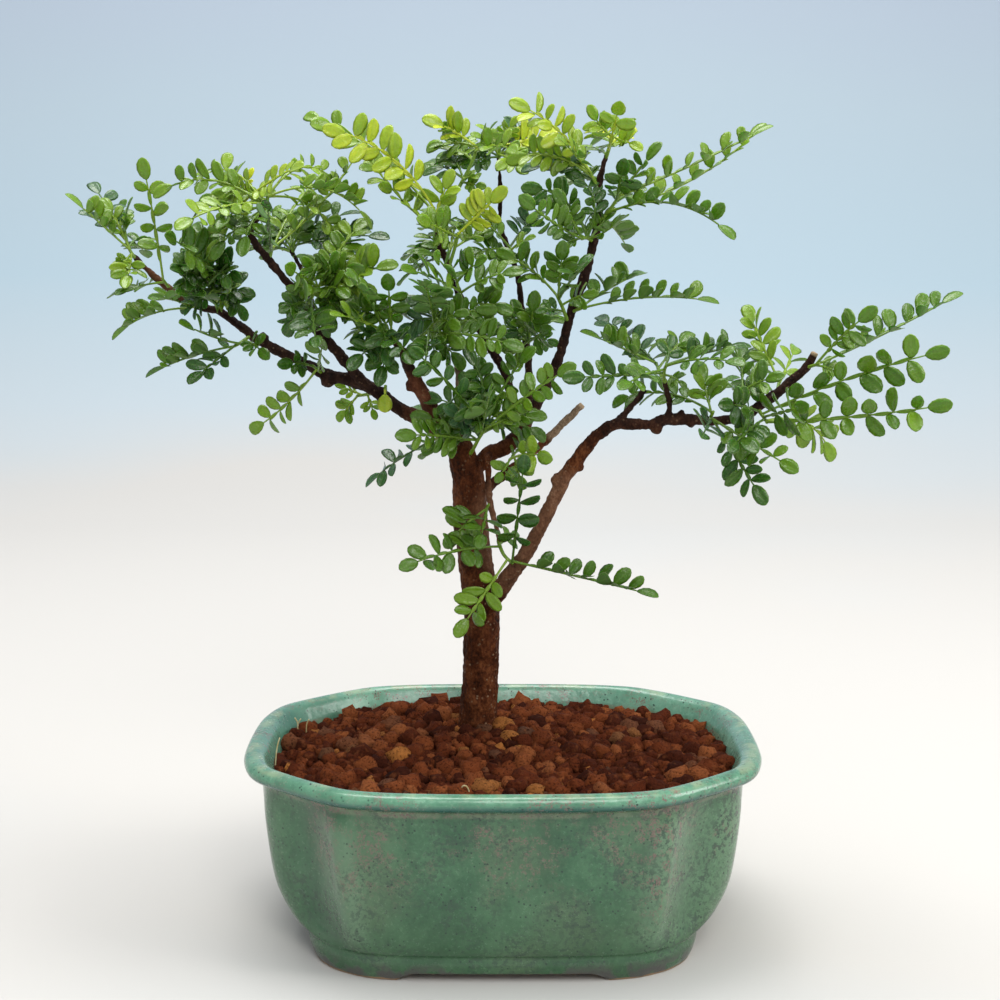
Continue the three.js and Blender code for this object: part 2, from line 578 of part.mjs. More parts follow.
    twig: [[35, 257, -8.5], [38.4, 260.6, -10], [42.6, 266.6, -12]],
    fronds: [
      [2, 97, 291, -14, 6, 65, -1], [1, 94.5, 292, 2, 7, 75, -5], [0.6, 85, 250, -18, 7, 20, 8],
      [2, 44, 279, -22, 3, 70, 0], [2, 57, 285, -6, 3, 50, 0], [1, 50, 268, 30, 4, 40, 2],
      [0.4, 46, 246, 32, 4, 35, 1],
    ],
  },
  right_back: {
    twig: [[59.8, 198.6, -30], [57.6, 202.6, -22], [56.6, 205.6, -14]],
    fronds: [
      [2, 28.5, 217.5, -18, 5, 30, 0], [2, 34.5, 223, 14, 5, 50, 1], [1.4, 47, 213, 16, 4, 40, 1],
      [1.5, 70, 217, 8, 3, 40, 1],
    ],
  },
  right_spread: {
    twig: [[59.4, 199.4, -30], [59.6, 203, -36], [60.4, 205, -39]],
    fronds: [
      [0.7, 22, 200, -44, 5, 80, 0], [2, 91.5, 212, -36, 6, 60, 1], [1.6, 89, 205, -52, 4, 40, 2],
      [2, 62.5, 216, -42, 1, 85, 0], [1, 43, 196, -58, 4, 45, 1], [1.5, 68, 196, -60, 3, 60, 1],
    ],
  },
  right_mid: {
    twig: [[76.6, 184.8, -31], [78, 187.6, -35]],
    fronds: [
      [0.8, 39.5, 189.5, -40, 6, 60, 6], [1, 72, 206.5, -46, 4, 60, 0], [1, 98.5, 152.5, -46, 5, 88, 0],
      [1, 110, 165, -56, 4, 80, 0], [0.6, 74, 178, -48, 2, 80, 0],
    ],
  },
  right_upper: {
    twig: [[86.2, 190.6, -32], [88, 194.6, -30], [88.6, 197, -28]],
    fronds: [
      [1, 104, 201, -40, 3, 55, 1], [2, 87.5, 213, -38, 3, 60, 0], [2, 97, 208, -14, 3, 45, 1],
      [1, 78, 199, -4, 4, 40, 2], [1.4, 100, 196, 0, 4, 35, 2],
    ],
  },
  right_pale: {
    twig: [[101.4, 194.8, -33], [102, 199, -30]],
    fronds: [[1, 88.5, 227, -22, 5, 85, 0], [1, 108, 212, -26, 2, 80, 0]],
  },
  right_end: {
    twig: [[111.4, 203.6, -33], [116.8, 205.4, -38.5]],
    fronds: [[1, 168, 231.6, -30, 7, 55, -1], [0.8, 137, 226, -46, 5, 80, 1], [0.6, 126, 200, -46, 4, 40, 1]],
  },
  right_lower: {
    twig: [[94, 188.8, -33], [96.6, 185.6, -37], [98, 183.4, -40]],
    fronds: [
      [0.7, 164.5, 210.5, -42, 6, 90, 2], [2, 166.5, 190.5, -48, 6, 90, -1], [2, 123.5, 167.5, -58, 4, 85, 7],
      [1, 113, 190, -50, 3, 85, 0], [1.6, 84, 173, -60, 3, 80, 1], [1.4, 80, 190, -66, 3, 75, 1],
    ],
  },
};

// Where a frond lies: its root on the twig, its tip, and the three directions of its blade.
function lay(twig, station, row, slide) {
  const [, across, up, away, pairs, face, bow] = row;
  const whole = Math.min(Math.floor(station), twig.length - 2);
  const share = station - whole;
  const [near, far] = [twig[whole], twig[whole + 1]];
  const root = place(...near.map((value, axis) => value + (far[axis] - value) * share));
  const tip = place(across, up, away + slide);
  const length = tip.distanceTo(root);
  const along = tip.clone().sub(root).divideScalar(length);
  const lift = new THREE.Vector3(0, 0, 1).addScaledVector(along, -along.z).normalize();
  const front = new THREE.Vector3(0, -1, 0).addScaledVector(along, along.y);
  const turn = THREE.MathUtils.degToRad(face);
  const normal = lift.clone().multiplyScalar(Math.cos(turn)).addScaledVector(front, Math.sin(turn)).normalize();
  const left = normal.clone().cross(along);
  const leaflet = Math.min(LEAFLET, length * (pairs > 0 ? 0.42 : 0.9));
  const stalk = Math.min(9, length * (pairs > 0 ? 0.24 : 0.2));
  const at = (forward, sideways, high) => {
    const part = forward / length;
    return root.clone()
      .addScaledVector(along, forward)
      .addScaledVector(lift, bow * 4 * part * (1 - part))
      .addScaledVector(left, sideways)
      .addScaledVector(normal, high);
  };
  return { at, length, leaflet, stalk, pairs };
}

// The fronds of a twig leave it one below the other, the first at the place that its row gives.
function rootsAlong({ twig, fronds }) {
  const length = place(...twig[0]).distanceTo(place(...twig[twig.length - 1]));
  const spacing = ROOT_SPACING * (twig.length - 1) / length;
  const roots = [];
  for (const [wanted] of fronds) {
    let station = Math.min(wanted, twig.length - 1.12);
    while (roots.some((other) => Math.abs(other - station) < spacing)) station -= spacing / 4;
    roots.push(Math.max(station, 0.2));
  }
  return roots;
}

// Leaflets of a frond as one thin arched blade, cut to the rib between them. The blade is thickest
// along the rib and its underside is flat across. Long fronds have fewer, broader leaflets here.
function frond(blade) {
  const { at, length, leaflet, stalk } = blade;
  const pairs = Math.max(Math.ceil(blade.pairs / 2), Math.min(blade.pairs, 2));
  const lastNode = Math.max(length - leaflet, stalk + 0.1);
  const pitch = pairs > 0 ? (lastNode - stalk) / pairs : 0;
  const points = [];
  const triangles = [];
  const point = (forward, sideways, high) => points.push(at(forward, sideways, high)) - 1;
  const nodeAt = (forward, size) => ({
    left: point(forward, size * RIB_HALF_WIDTH, 0),
    ridge: point(forward, 0, size * BLADE_RISE),
    right: point(forward, -size * RIB_HALF_WIDTH, 0),
  });
  const start = nodeAt(0, 0.5);
  const nodes = [];
  for (let pair = 0; pair <= pairs; pair += 1) nodes.push(nodeAt(stalk + pair * pitch, 1));
  const first = nodes[0];
  triangles.push([start.left, start.right, start.ridge]);
  triangles.push([start.left, start.ridge, first.ridge], [start.left, first.ridge, first.left]);
  triangles.push([start.right, first.ridge, start.ridge], [start.right, first.right, first.ridge]);
  triangles.push([start.left, first.left, first.right], [start.left, first.right, start.right]);
  for (let pair = 0; pair < pairs; pair += 1) {
    const near = nodes[pair];
    const far = nodes[pair + 1];
    const middle = stalk + (pair + 0.5) * pitch;
    const reach = leaflet * (0.95 - 0.15 * Math.abs(2 * pair - pairs + 1) / pairs);
    for (const hand of [1, -1]) {
      const low = point(middle - 0.28 * pitch + 0.2 * reach, hand * 0.86 * reach, 0);
      const high = point(middle + 0.3 * pitch + 0.24 * reach, hand * 0.9 * reach, 0);
      const [nearEdge, farEdge] = hand > 0 ? [near.left, far.left] : [near.right, far.right];
      const faces = [
        [near.ridge, far.ridge, high], [near.ridge, high, low], [near.ridge, low, nearEdge],
        [far.ridge, farEdge, high], [nearEdge, low, high], [nearEdge, high, farEdge],
      ];
      triangles.push(...faces.map(([a, b, c]) => (hand > 0 ? [a, b, c] : [a, c, b])));
    }
    triangles.push([near.left, far.left, far.right], [near.left, far.right, near.right]);
  }
  const last = nodes[nodes.length - 1];
  const from = stalk + pairs * pitch;
  const reach = length - from;
  const half = Math.min(reach, leaflet) * (pairs > 0 ? 0.34 : 0.46);
  const port = point(from + 0.62 * reach, half, 0);
  const end = point(length, 0, 0);
  const starboard = point(from + 0.62 * reach, -half, 0);
  triangles.push([last.ridge, port, last.left], [last.ridge, end, port], [last.ridge, starboard, end]);
  triangles.push([last.ridge, last.right, starboard], [last.left, port, end]);
  triangles.push([last.left, end, starboard], [last.left, starboard, last.right]);
  return solidOf(geometryOf(points, triangles));
}

// Fronds are bent clear of each other. Each is tried where its row says, and otherwise its tip
// slides towards or away from the viewer, until spots spread over its blade clear those of the
// fronds laid before it and all the wood. Seen from in front the frond stays where it is.
const SPOT_PITCH = 3.6;
const SPOT_CLEARANCE = 3.4;
const SLIDES = [0, -5, 5, -10, 10, -15, 15, -20, 20, -25, 25, -30, 30];
const NEAREST_AWAY = -82;
const FURTHEST_AWAY = 45;

function spotsOver({ at, length, leaflet, stalk, pairs }) {
  const from = pairs > 0 ? stalk : 0.5 * length;
  const rows = Math.max(1, Math.round((length - from) / SPOT_PITCH));
  const spots = [];
  for (let step = 0; step <= rows; step += 1) {
    const forward = from + (length - from) * step / rows;
    const reach = Math.min(0.9 * leaflet, length - forward + 0.4 * leaflet);
    for (const sideways of [-1, -0.5, 0, 0.5, 1]) {
      spots.push({ middle: at(forward + 0.2 * Math.abs(sideways) * reach, sideways * reach, 0), radius: 0 });
    }
  }
  return spots;
}

function spotsAlong(stations, grow) {
  const spots = [];
  for (let index = 0; index + 1 < stations.length; index += 1) {
    const from = place(...stations[index].slice(0, 3));
    const to = place(...stations[index + 1].slice(0, 3));
    const radius = (stations[index][3] ?? 0.8) + grow;
    const steps = Math.ceil(from.distanceTo(to) / SPOT_PITCH);
    for (let step = 0; step <= steps; step += 1) {
      spots.push({ middle: from.clone().lerp(to, step / steps), radius });
    }
  }
  return spots;
}

function clashCount(spots, others) {
  return spots.filter(({ middle }) => others.some((other) => (
    middle.distanceTo(other.middle) < SPOT_CLEARANCE + other.radius))).length;
}

function layAll() {
  const taken = Object.values(LIMBS).flatMap((stations) => spotsAlong(stations, -1.5));
  const stems = Object.fromEntries(Object.entries(SHOOTS).map(([name, { twig }]) => (
    [name, spotsAlong(twig, -1.2)])));
  const laid = {};
  for (const [name, { twig, fronds }] of Object.entries(SHOOTS)) {
    const otherStems = Object.entries(stems).filter(([other]) => other !== name).flatMap(([, spots]) => spots);
    const roots = rootsAlong(SHOOTS[name]);
    laid[name] = fronds.map((row, index) => {
      const slides = SLIDES.filter((slide) => row[3] + slide > NEAREST_AWAY && row[3] + slide < FURTHEST_AWAY);
      let best = { count: Infinity };
      for (const slide of slides) {
        const blade = lay(twig, roots[index], row, slide);
        const spots = spotsOver(blade);
        const count = clashCount(spots, taken) + clashCount(spots, otherStems);
        if (count < best.count) best = { count, blade, spots };
        if (count === 0) break;
      }
      taken.push(...best.spots);
      return best.blade;
    });
  }
  return laid;
}

function shoot(twig, blades, clearance) {
  const taper = (TWIG_TIP_RADIUS - TWIG_RADIUS) / (twig.length - 1);
  const stations = twig.map(([across, up, away], index) => [across, up, away, TWIG_RADIUS + taper * index]);
  const parts = [limb(stations, 3, 0), ...blades.map(frond)];
  return largestBody(wasm.Manifold.union(parts).subtract(clearance));
}

// Finishes
function finish(color, roughness) {
  return new THREE.MeshStandardMaterial({ color, roughness, metalness: 0 });
}

const glaze = finish(0x3f8f73, 0.25);
const clay = finish(0x7a4630, 0.95);
const bark = finish(0x4a2c20, 0.85);
const net = finish(0x2b2b2b, 0.6);
const matureLeaf = finish(0x2f6b2a, 0.4);
const limeLeaf = finish(0x86ad35, 0.45);
const yellowLeaf = finish(0xb9d13f, 0.45);
const LEAF_FINISH = {
  upper_star: limeLeaf, left_arch: limeLeaf, top_left: limeLeaf, top_right: limeLeaf, left_upright: limeLeaf,
  left_top: limeLeaf, top_young: yellowLeaf, centre_top: yellowLeaf, yellow_leaflet: yellowLeaf,
};

const bonsai = new THREE.Group();
bonsai.add(meshOf('pot', pot(), glaze));
bonsai.add(meshOf('drain_mesh_left', drainMesh(-1), net));
bonsai.add(meshOf('drain_mesh_right', drainMesh(1), net));
bonsai.add(meshOf('soil', soil(), clay));
bonsai.add(meshOf('wood', wood(0), bark));
const clearance = wood(FIT_GAP);
for (const [name, blades] of Object.entries(layAll())) {
  const solid = shoot(SHOOTS[name].twig, blades, clearance);
  bonsai.add(meshOf(`shoot_${name}`, solid, LEAF_FINISH[name] ?? matureLeaf));
}

export default bonsai;
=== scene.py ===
import json
import math

import bmesh
import bpy
import numpy as np
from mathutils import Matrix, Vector, noise

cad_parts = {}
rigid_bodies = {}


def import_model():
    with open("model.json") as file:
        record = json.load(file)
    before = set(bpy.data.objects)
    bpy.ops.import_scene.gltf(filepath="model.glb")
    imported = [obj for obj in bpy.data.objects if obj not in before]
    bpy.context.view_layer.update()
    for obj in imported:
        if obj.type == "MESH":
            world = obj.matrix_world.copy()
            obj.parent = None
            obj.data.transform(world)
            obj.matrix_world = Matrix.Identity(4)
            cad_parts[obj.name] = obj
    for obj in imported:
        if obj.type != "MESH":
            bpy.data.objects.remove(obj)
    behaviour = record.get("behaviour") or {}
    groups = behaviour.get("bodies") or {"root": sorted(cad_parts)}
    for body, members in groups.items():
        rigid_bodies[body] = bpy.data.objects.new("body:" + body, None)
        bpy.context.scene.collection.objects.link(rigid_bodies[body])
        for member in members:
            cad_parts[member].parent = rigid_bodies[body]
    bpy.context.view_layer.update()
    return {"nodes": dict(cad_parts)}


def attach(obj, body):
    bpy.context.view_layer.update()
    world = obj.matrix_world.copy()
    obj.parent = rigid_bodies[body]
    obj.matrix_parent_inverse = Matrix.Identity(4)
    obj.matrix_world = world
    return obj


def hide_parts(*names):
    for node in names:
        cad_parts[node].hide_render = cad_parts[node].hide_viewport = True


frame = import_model()

# The pot
# Stoneware, pressed in a mould: an oblong tray with slanted corners, a rolled lip and four low feet.
# It is dipped in a mottled jade glaze that thins over the lip, pools under it and stops at the feet.
MM = 0.001
POT_HALF_WIDTH = 93.3
POT_HALF_DEPTH = 67
FOOT_HEIGHT = 3.1
DRAIN_RADIUS = 6
DRAIN_ACROSS = 36
DRILL_HEIGHT = 5
DRILL_LENGTH = 30
# The soft upright folds of the long walls: how far across one stands at the pot's foot, how far it
# leans out for each mm of height, and how far beside it the wall is hollow.
FOLD_FOOT = 49
FOLD_LEAN = 0.11
FOLD_HOLLOW = 14
# Soft waves of the walls: how far each stands out, where its middle is and how wide it is. The first
# two are measured from the fold. The others lie across the long wall and along an end wall.
FOLD_WAVES = [(3.2, 0, 4.6), (-2.5, FOLD_HOLLOW, 7.5)]
LONG_WAVES = [(-1.0, 0, 34)]
END_WAVES = [(1.0, 32, 5), (-0.5, 0, 16)]
# The depth in the pot at which its plan turns from an end wall to a long one.
LONG_WALL = (36, 44)
# From where to where a foot comes down from the underside, across and away from the middle.
FOOT_ACROSS = (31.5, 35.5)
FOOT_AWAY = (23, 28)
SECTION_STEPS = 3
PLAN_STEPS = 6
PLAN_QUARTER = [
    (1, 0.16), (0.985, 0.36), (0.94, 0.545), (0.85, 0.675), (0.66, 0.875), (0.52, 0.955), (0.25, 0.993),
]
FOOT_QUARTER = [
    (1, 0.2), (0.985, 0.5), (0.95, 0.68), (0.885, 0.8), (0.79, 0.89), (0.62, 0.97), (0.3, 0.998),
]
# Sections of the wall from the floor inside, over the lip and down to the foot: height, how far it
# stands in from the rim at the sides and at the front, how far its plan is the foot's, and how far
# the soft upright ridges between its panels stand out.
POT_SECTIONS = [
    (8.5, 28.5, 17, 0, 0), (10, 24.6, 15, 0, 0), (14, 21.8, 13.5, 0, 0), (22, 17, 11.6, 0, 0),
    (40, 13.6, 9.9, 0, 0), (60, 11, 8.8, 0, 0), (66, 8.8, 7, 0, 0), (68.8, 7, 5.6, 0, 0),
    (69.9, 5, 4.2, 0, 0), (70, 3.3, 2.8, 0, 0), (69.3, 1.1, 1, 0, 0), (67.4, 0, 0, 0, 0),
    (65.6, 0.5, 0.5, 0, 0), (64.2, 2.4, 2, 0, 0), (63.2, 5, 4, 0, 0), (61.5, 6, 4.8, 0, 0.15),
    (56, 6.3, 5, 0, 0.7), (48, 6.8, 5.1, 0, 1), (33, 8.5, 5.5, 0, 1), (24, 10.4, 6, 0, 1),
    (17, 13.6, 7, 0.1, 0.8), (12.8, 17, 8.1, 0.45, 0.4), (10.2, 20.6, 9.4, 0.8, 0.1),
    (8.8, 23.1, 10.5, 1, 0), (6.4, 22.6, 10, 1, 0), (3.6, 23.2, 10.2, 1, 0), (0.8, 24.3, 11, 1, 0),
    (0, 25.7, 12.3, 1, 0), (0, 34.8, 21.4, 1, 0), (0.6, 36.3, 22.9, 1, 0),
    (FOOT_HEIGHT, 37.3, 24.1, 1, 0),
]


def metres(*values):
    return Vector(values) * MM


def smooth_through(rows, steps, closed):
    """Rows of numbers on a smooth curve through the given rows, with so many steps between two of them."""
    rows = np.array(rows, float)
    count = len(rows)
    spans = count if closed else count - 1
    result = []
    for span in range(spans):
        picks = [span - 1, span, span + 1, span + 2]
        ends = [pick % count if closed else min(max(pick, 0), count - 1) for pick in picks]
        before, start, end, after = rows[ends]
        for step in range(steps):
            t = step / steps
            result.append(0.5 * (
                2 * start + (end - before) * t + (2 * before - 5 * start + 4 * end - after) * t * t
                + (3 * start - before - 3 * end + after) * t ** 3))
    if not closed:
        result.append(rows[-1])
    return np.array(result)


def soft_step(value, low, high):
    """0 up to low, 1 from high on, with a soft change between."""
    share = np.clip((value - low) / (high - low), 0, 1)
    return share * share * (3 - 2 * share)


def waves(value, rows, shift=0):
    """The sum of soft waves, the same on both sides of the middle, moved outwards by a shift."""
    reach = np.abs(value)
    return sum(rise * np.exp(-((reach - (shift + middle)) / width) ** 2) for rise, middle, width in rows)


def pot_ring(height, side, front, squareness, ridge=0):
    """One level turn round the pot, as an array of points in millimetres."""
    quarter = (1 - squareness) * np.array(PLAN_QUARTER) + squareness * np.array(FOOT_QUARTER)
    quarter *= (POT_HALF_WIDTH - side, POT_HALF_DEPTH - front)
    turn = [quarter, quarter[::-1] * (-1, 1), quarter * (-1, -1), quarter[::-1] * (1, -1)]
    plan = smooth_through(np.concatenate(turn), PLAN_STEPS, True)
    tangent = np.roll(plan, -1, 0) - np.roll(plan, 1, 0)
    outward = np.column_stack([tangent[:, 1], -tangent[:, 0]])
    outward /= np.linalg.norm(outward, axis=1)[:, None]
    across, away = plan[:, 0], plan[:, 1]
    folds = waves(across, FOLD_WAVES, FOLD_FOOT + FOLD_LEAN * height)
    long_relief = folds + waves(across, LONG_WAVES)
    end_relief = waves(away, END_WAVES)
    on_long_wall = soft_step(np.abs(away), *LONG_WALL)
    relief = long_relief * on_long_wall + end_relief * (1 - on_long_wall)
    plan = plan + outward * (relief * ridge)[:, None]
    lobe = soft_step(np.abs(across), *FOOT_ACROSS) * soft_step(np.abs(away), *FOOT_AWAY)
    level = np.full(len(plan), max(height, 0.0))
    level = np.where(level < FOOT_HEIGHT, FOOT_HEIGHT + (level - FOOT_HEIGHT) * lobe, level)
    return np.column_stack([plan, level])


def placed(name, data):
    """Puts a mesh, a lamp or a camera into the scene."""
    thing = bpy.data.objects.new(name, data)
    bpy.context.scene.collection.objects.link(thing)
    return thing


def mesh_object(name, points, faces, edges=()):
    mesh = bpy.data.meshes.new(name)
    mesh.from_pydata([tuple(point) for point in points], edges, faces)
    mesh.polygons.foreach_set("use_smooth", [True] * len(mesh.polygons))
    return placed(name, mesh)


def skin_faces(rings, sides):
    """Quads between closed rings of points, with a face over each end."""
    faces = []
    for ring in range(rings - 1):
        for side in range(sides):
            after = (side + 1) % sides
            low, high = ring * sides, (ring + 1) * sides
            faces.append((low + side, low + after, high + after, high + side))
    faces.append(tuple(reversed(range(sides))))
    faces.append(tuple(range((rings - 1) * sides, rings * sides)))
    return faces


def settle(piece):
    """Replaces a piece's mesh with what its modifiers make of it."""
    graph = bpy.context.evaluated_depsgraph_get()
    ready = piece.evaluated_get(graph)
    mesh = bpy.data.meshes.new_from_object(ready, preserve_all_data_layers=True, depsgraph=graph)
    piece.modifiers.clear()
    piece.data = mesh
    return piece


def face_outwards(piece):
    """Turns all faces of a closed piece outwards."""
    shape = bmesh.new()
    shape.from_mesh(piece.data)
    bmesh.ops.recalc_face_normals(shape, faces=shape.faces)
    shape.to_mesh(piece.data)
    shape.free()


def sign(operation, swapped=False):
    """What a sign between a flow and another value does: it adds a Math node."""
    def add_node(flow, other):
        return flow.math(operation, other, flow) if swapped else flow.math(operation, flow, other)
    return add_node


class Flow:
    """A value that flows through a node tree. Sums on it add Math nodes."""

    def __init__(self, tree, socket):
        self.tree = tree
        self.socket = socket

    def math(self, operation, first, second=0.0):
        return node(self.tree, "ShaderNodeMath", {"operation": operation}, {0: first, 1: second})

    __add__ = sign("ADD")
    __radd__ = sign("ADD", True)
    __sub__ = sign("SUBTRACT")
    __rsub__ = sign("SUBTRACT", True)
    __mul__ = sign("MULTIPLY")
    __truediv__ = sign("DIVIDE")

    def absolute(self):
        return self.math("ABSOLUTE", self)

    def between(self, low, high):
        """0 where the value is at low or under, 1 at high or over, with a soft change between."""
        inputs = {"Value": self, "From Min": low, "From Max": high}
        return node(self.tree, "ShaderNodeMapRange", {"interpolation_type": "SMOOTHSTEP"}, inputs)

    def colours(self, *stops):
        return node(self.tree, "ShaderNodeValToRGB", {"stops": stops}, {"Fac": self})

    def mix(self, colour, other):
        """The first colour where the value is 0 and the other where it is 1."""
        inputs = {"Factor": self, 6: colour, 7: other}
        return node(self.tree, "ShaderNodeMix", {"data_type": "RGBA"}, inputs, 2)


def node(tree, kind, settings=None, inputs=None, out=0):
    """Adds a node with its settings and the values or links of its sockets. Gives one output."""
    made = tree.nodes.new(kind)
    for key, value in (settings or {}).items():
        if key == "stops":
            ramp = made.color_ramp
            while len(ramp.elements) < len(value):
                ramp.elements.new(0.5)
            for element, (position, colour) in zip(ramp.elements, value):
                element.position = position
                element.color = (*colour, 1)
        else:
            setattr(made, key, value)
    for key, value in (inputs or {}).items():
        if isinstance(value, Flow):
            tree.links.new(value.socket, made.inputs[key])
        elif hasattr(value, "__len__") and len(value) == 3 and made.inputs[key].type == "RGBA":
            made.inputs[key].default_value = (*value, 1)
        else:
            made.inputs[key].default_value = value
    return Flow(tree, made.outputs[out]) if len(made.outputs) else None


class Finish:
    """A material in the making: where it is read, its noises, and its shader."""

    def __init__(self, name):
        self.material = bpy.data.materials.new(name)
        self.material.use_nodes = True
        self.tree = self.material.node_tree
        self.tree.nodes.clear()
        self.place = self.node("ShaderNodeTexCoord", out=3)

    def node(self, kind, settings=None, inputs=None, out=0):
        return node(self.tree, kind, settings, inputs, out)

    def axis(self, index):
        """How far along an axis the surface lies, in millimetres."""
        return self.node("ShaderNodeSeparateXYZ", None, {0: self.place}, index) * 1000.0

    def noise(self, size, detail=3.0, stretch=(1, 1, 1), rough=0.5):
        """A soft random pattern with blotches of a size in millimetres."""
        place = self.place
        if stretch != (1, 1, 1):
            place = self.node("ShaderNodeMapping", None, {"Vector": self.place, "Scale": stretch})
        inputs = {"Vector": place, "Scale": 1000.0 / size, "Detail": detail, "Roughness": rough}
        return self.node("ShaderNodeTexNoise", None, inputs)

    def cells(self, size):
        """How far off the middle of its cell the surface is, for cells of a size in millimetres."""
        return self.node("ShaderNodeTexVoronoi", None, {"Vector": self.place, "Scale": 1000.0 / size})

    def vectors(self, operation, first, second, out=0):
        """Vector maths. Output 0 is a vector and 1 is a number."""
        return self.node("ShaderNodeVectorMath", {"operation": operation}, {0: first, 1: second}, out)

    def attribute(self, name):
        return self.node("ShaderNodeAttribute", {"attribute_name": name}, None, 2)

    def bump(self, height, depth):
        """A normal for low relief: depth is its height in millimetres."""
        inputs = {"Height": height, "Distance": depth * MM, "Strength": 1.0}
        return self.node("ShaderNodeBump", None, inputs)

    def shade(self, inputs):
        shader = self.node("ShaderNodeBsdfPrincipled", None, inputs)
        self.node("ShaderNodeOutputMaterial", None, {"Surface": shader})
        return self.material


def wear(piece, material):
    piece.data.materials.clear()
    piece.data.materials.append(material)


def cut_drains(piece):
    """Drills the drainage holes through the pot's floor."""
    for side in (-1, 1):
        bpy.ops.mesh.primitive_cylinder_add(
            vertices=40, radius=DRAIN_RADIUS * MM, depth=DRILL_LENGTH * MM,
            location=metres(side * DRAIN_ACROSS, 0, DRILL_HEIGHT))
        cutter = bpy.context.object
        cut = piece.modifiers.new("drain", "BOOLEAN")
        cut.operation = "DIFFERENCE"
        cut.object = cutter
        settle(piece)
        bpy.data.objects.remove(cutter)


pot_rings = [pot_ring(*section) for section in smooth_through(POT_SECTIONS, SECTION_STEPS, False)]
pot_sides = len(pot_rings[0])
pot = mesh_object("glazed_pot", np.concatenate(pot_rings) * MM, skin_faces(len(pot_rings), pot_sides))
face_outwards(pot)
cut_drains(pot)


def layered(colour, *layers):
    """Lays colours over a first one, each as far as its share says, from 0 to 1."""
    for share, over in layers:
        colour = share.mix(colour, over)
    return colour


glaze = Finish("jade_glaze")
level = glaze.axis(2)
aside = glaze.axis(0)
flecks = glaze.noise(1.6, 4.0, rough=0.7)
tone = glaze.noise(17, 5.0, (1, 1, 0.7), 0.62) * 0.7 + flecks * 0.3
jade = tone.colours(
    (0.3, (0.016, 0.07, 0.03)), (0.44, (0.036, 0.118, 0.052)), (0.55, (0.06, 0.16, 0.075)),
    (0.72, (0.092, 0.208, 0.104)),
)
lip_jade = tone.colours(
    (0.32, (0.06, 0.18, 0.105)), (0.52, (0.115, 0.285, 0.175)), (0.72, (0.2, 0.4, 0.265)),
)
# A lighter jade for the inner walls: painted light where the lamps fall into the pot.
inner_jade_painted_light = tone.colours((0.34, (0.085, 0.225, 0.15)), (0.6, (0.185, 0.38, 0.27)))
# Where each look lies, from 0 to 1. Levels and distances are in millimetres on the pot.
from_fold = aside.absolute() - (level * FOLD_LEAN + FOLD_FOOT)
on_wall = level.between(10, 18) * (1.0 - level.between(54, 62))
# Crests and hollows of the folds. The crests are lighter, partly thin glaze and partly painted highlight;
# the hollows are darker, partly pooled glaze and partly painted shade.
crest = 1.0 - from_fold.absolute().between(1.0, 8.0)
hollow = 1.0 - (from_fold - FOLD_HOLLOW).absolute().between(2.0, 9.0)
facing = glaze.node("ShaderNodeNewGeometry", None, None, 1)
facing_up = glaze.node("ShaderNodeSeparateXYZ", None, {0: facing}, 2)
level_facing = glaze.vectors("MULTIPLY", facing, (1, 1, 0))
outward = glaze.vectors("DOT_PRODUCT", level_facing, glaze.place, 1)
inner_side = 1.0 - outward.between(-0.03, 0.0)
# The lower half of the lip's roll, outside: glaze pools there, and its darker band is also a painted shade
# under the lip.
pooled_glaze_and_shade = level.between(63.4, 64.6) * (1.0 - level.between(65.6, 67.6)) * (1.0 - inner_side)
seam = level.between(60.4, 61.6) * (1.0 - level.between(63.2, 64.0))
lip_edge = level.between(68.6, 69.9) * glaze.noise(8).between(0.46, 0.66)
ragged = glaze.noise(0.7, rough=0.75)
mottled_area = glaze.noise(15).between(0.4, 0.62) * 0.65 + aside.between(20, 80) * 0.35 + 0.1
mottle = glaze.noise(1.9, 4.0, rough=0.8).between(0.49, 0.55) * mottled_area
off_lip = (1.0 - level.between(61, 66) * 0.6) * (1.0 - inner_side * 0.7)
dots = 1.0 - (glaze.cells(1.9) + (ragged - 0.5) * 0.4).between(0.12, 0.24)
specks = dots * glaze.noise(9, 2.0).between(0.4, 0.58)
rosy_area = glaze.noise(30).between(0.44, 0.6) * level.between(22, 50) + seam * 0.8
rosy_area = rosy_area + level.between(65, 67) * 0.3
rosy_area = rosy_area + crest * (aside.between(0, 30) * 0.8 + 0.15) * level.between(14, 30)
rosy = ragged.between(0.46, 0.6) * rosy_area * glaze.noise(3.2).between(0.47, 0.58)
burnt = (glaze.noise(9, 4.0) + aside.absolute() * 0.004).between(0.6, 0.72)
foot_tint = (1.0 - (level + (ragged - 0.5) * 6.0).between(2.5, 8.5)) * burnt
bare_clay = 1.0 - (level + (glaze.noise(5, 2.0) - 0.5) * 1.4).between(0.5, 1.1)
underneath = (1.0 - facing_up.between(-0.92, -0.7)) * (1.0 - level.between(9.0, 11.0))
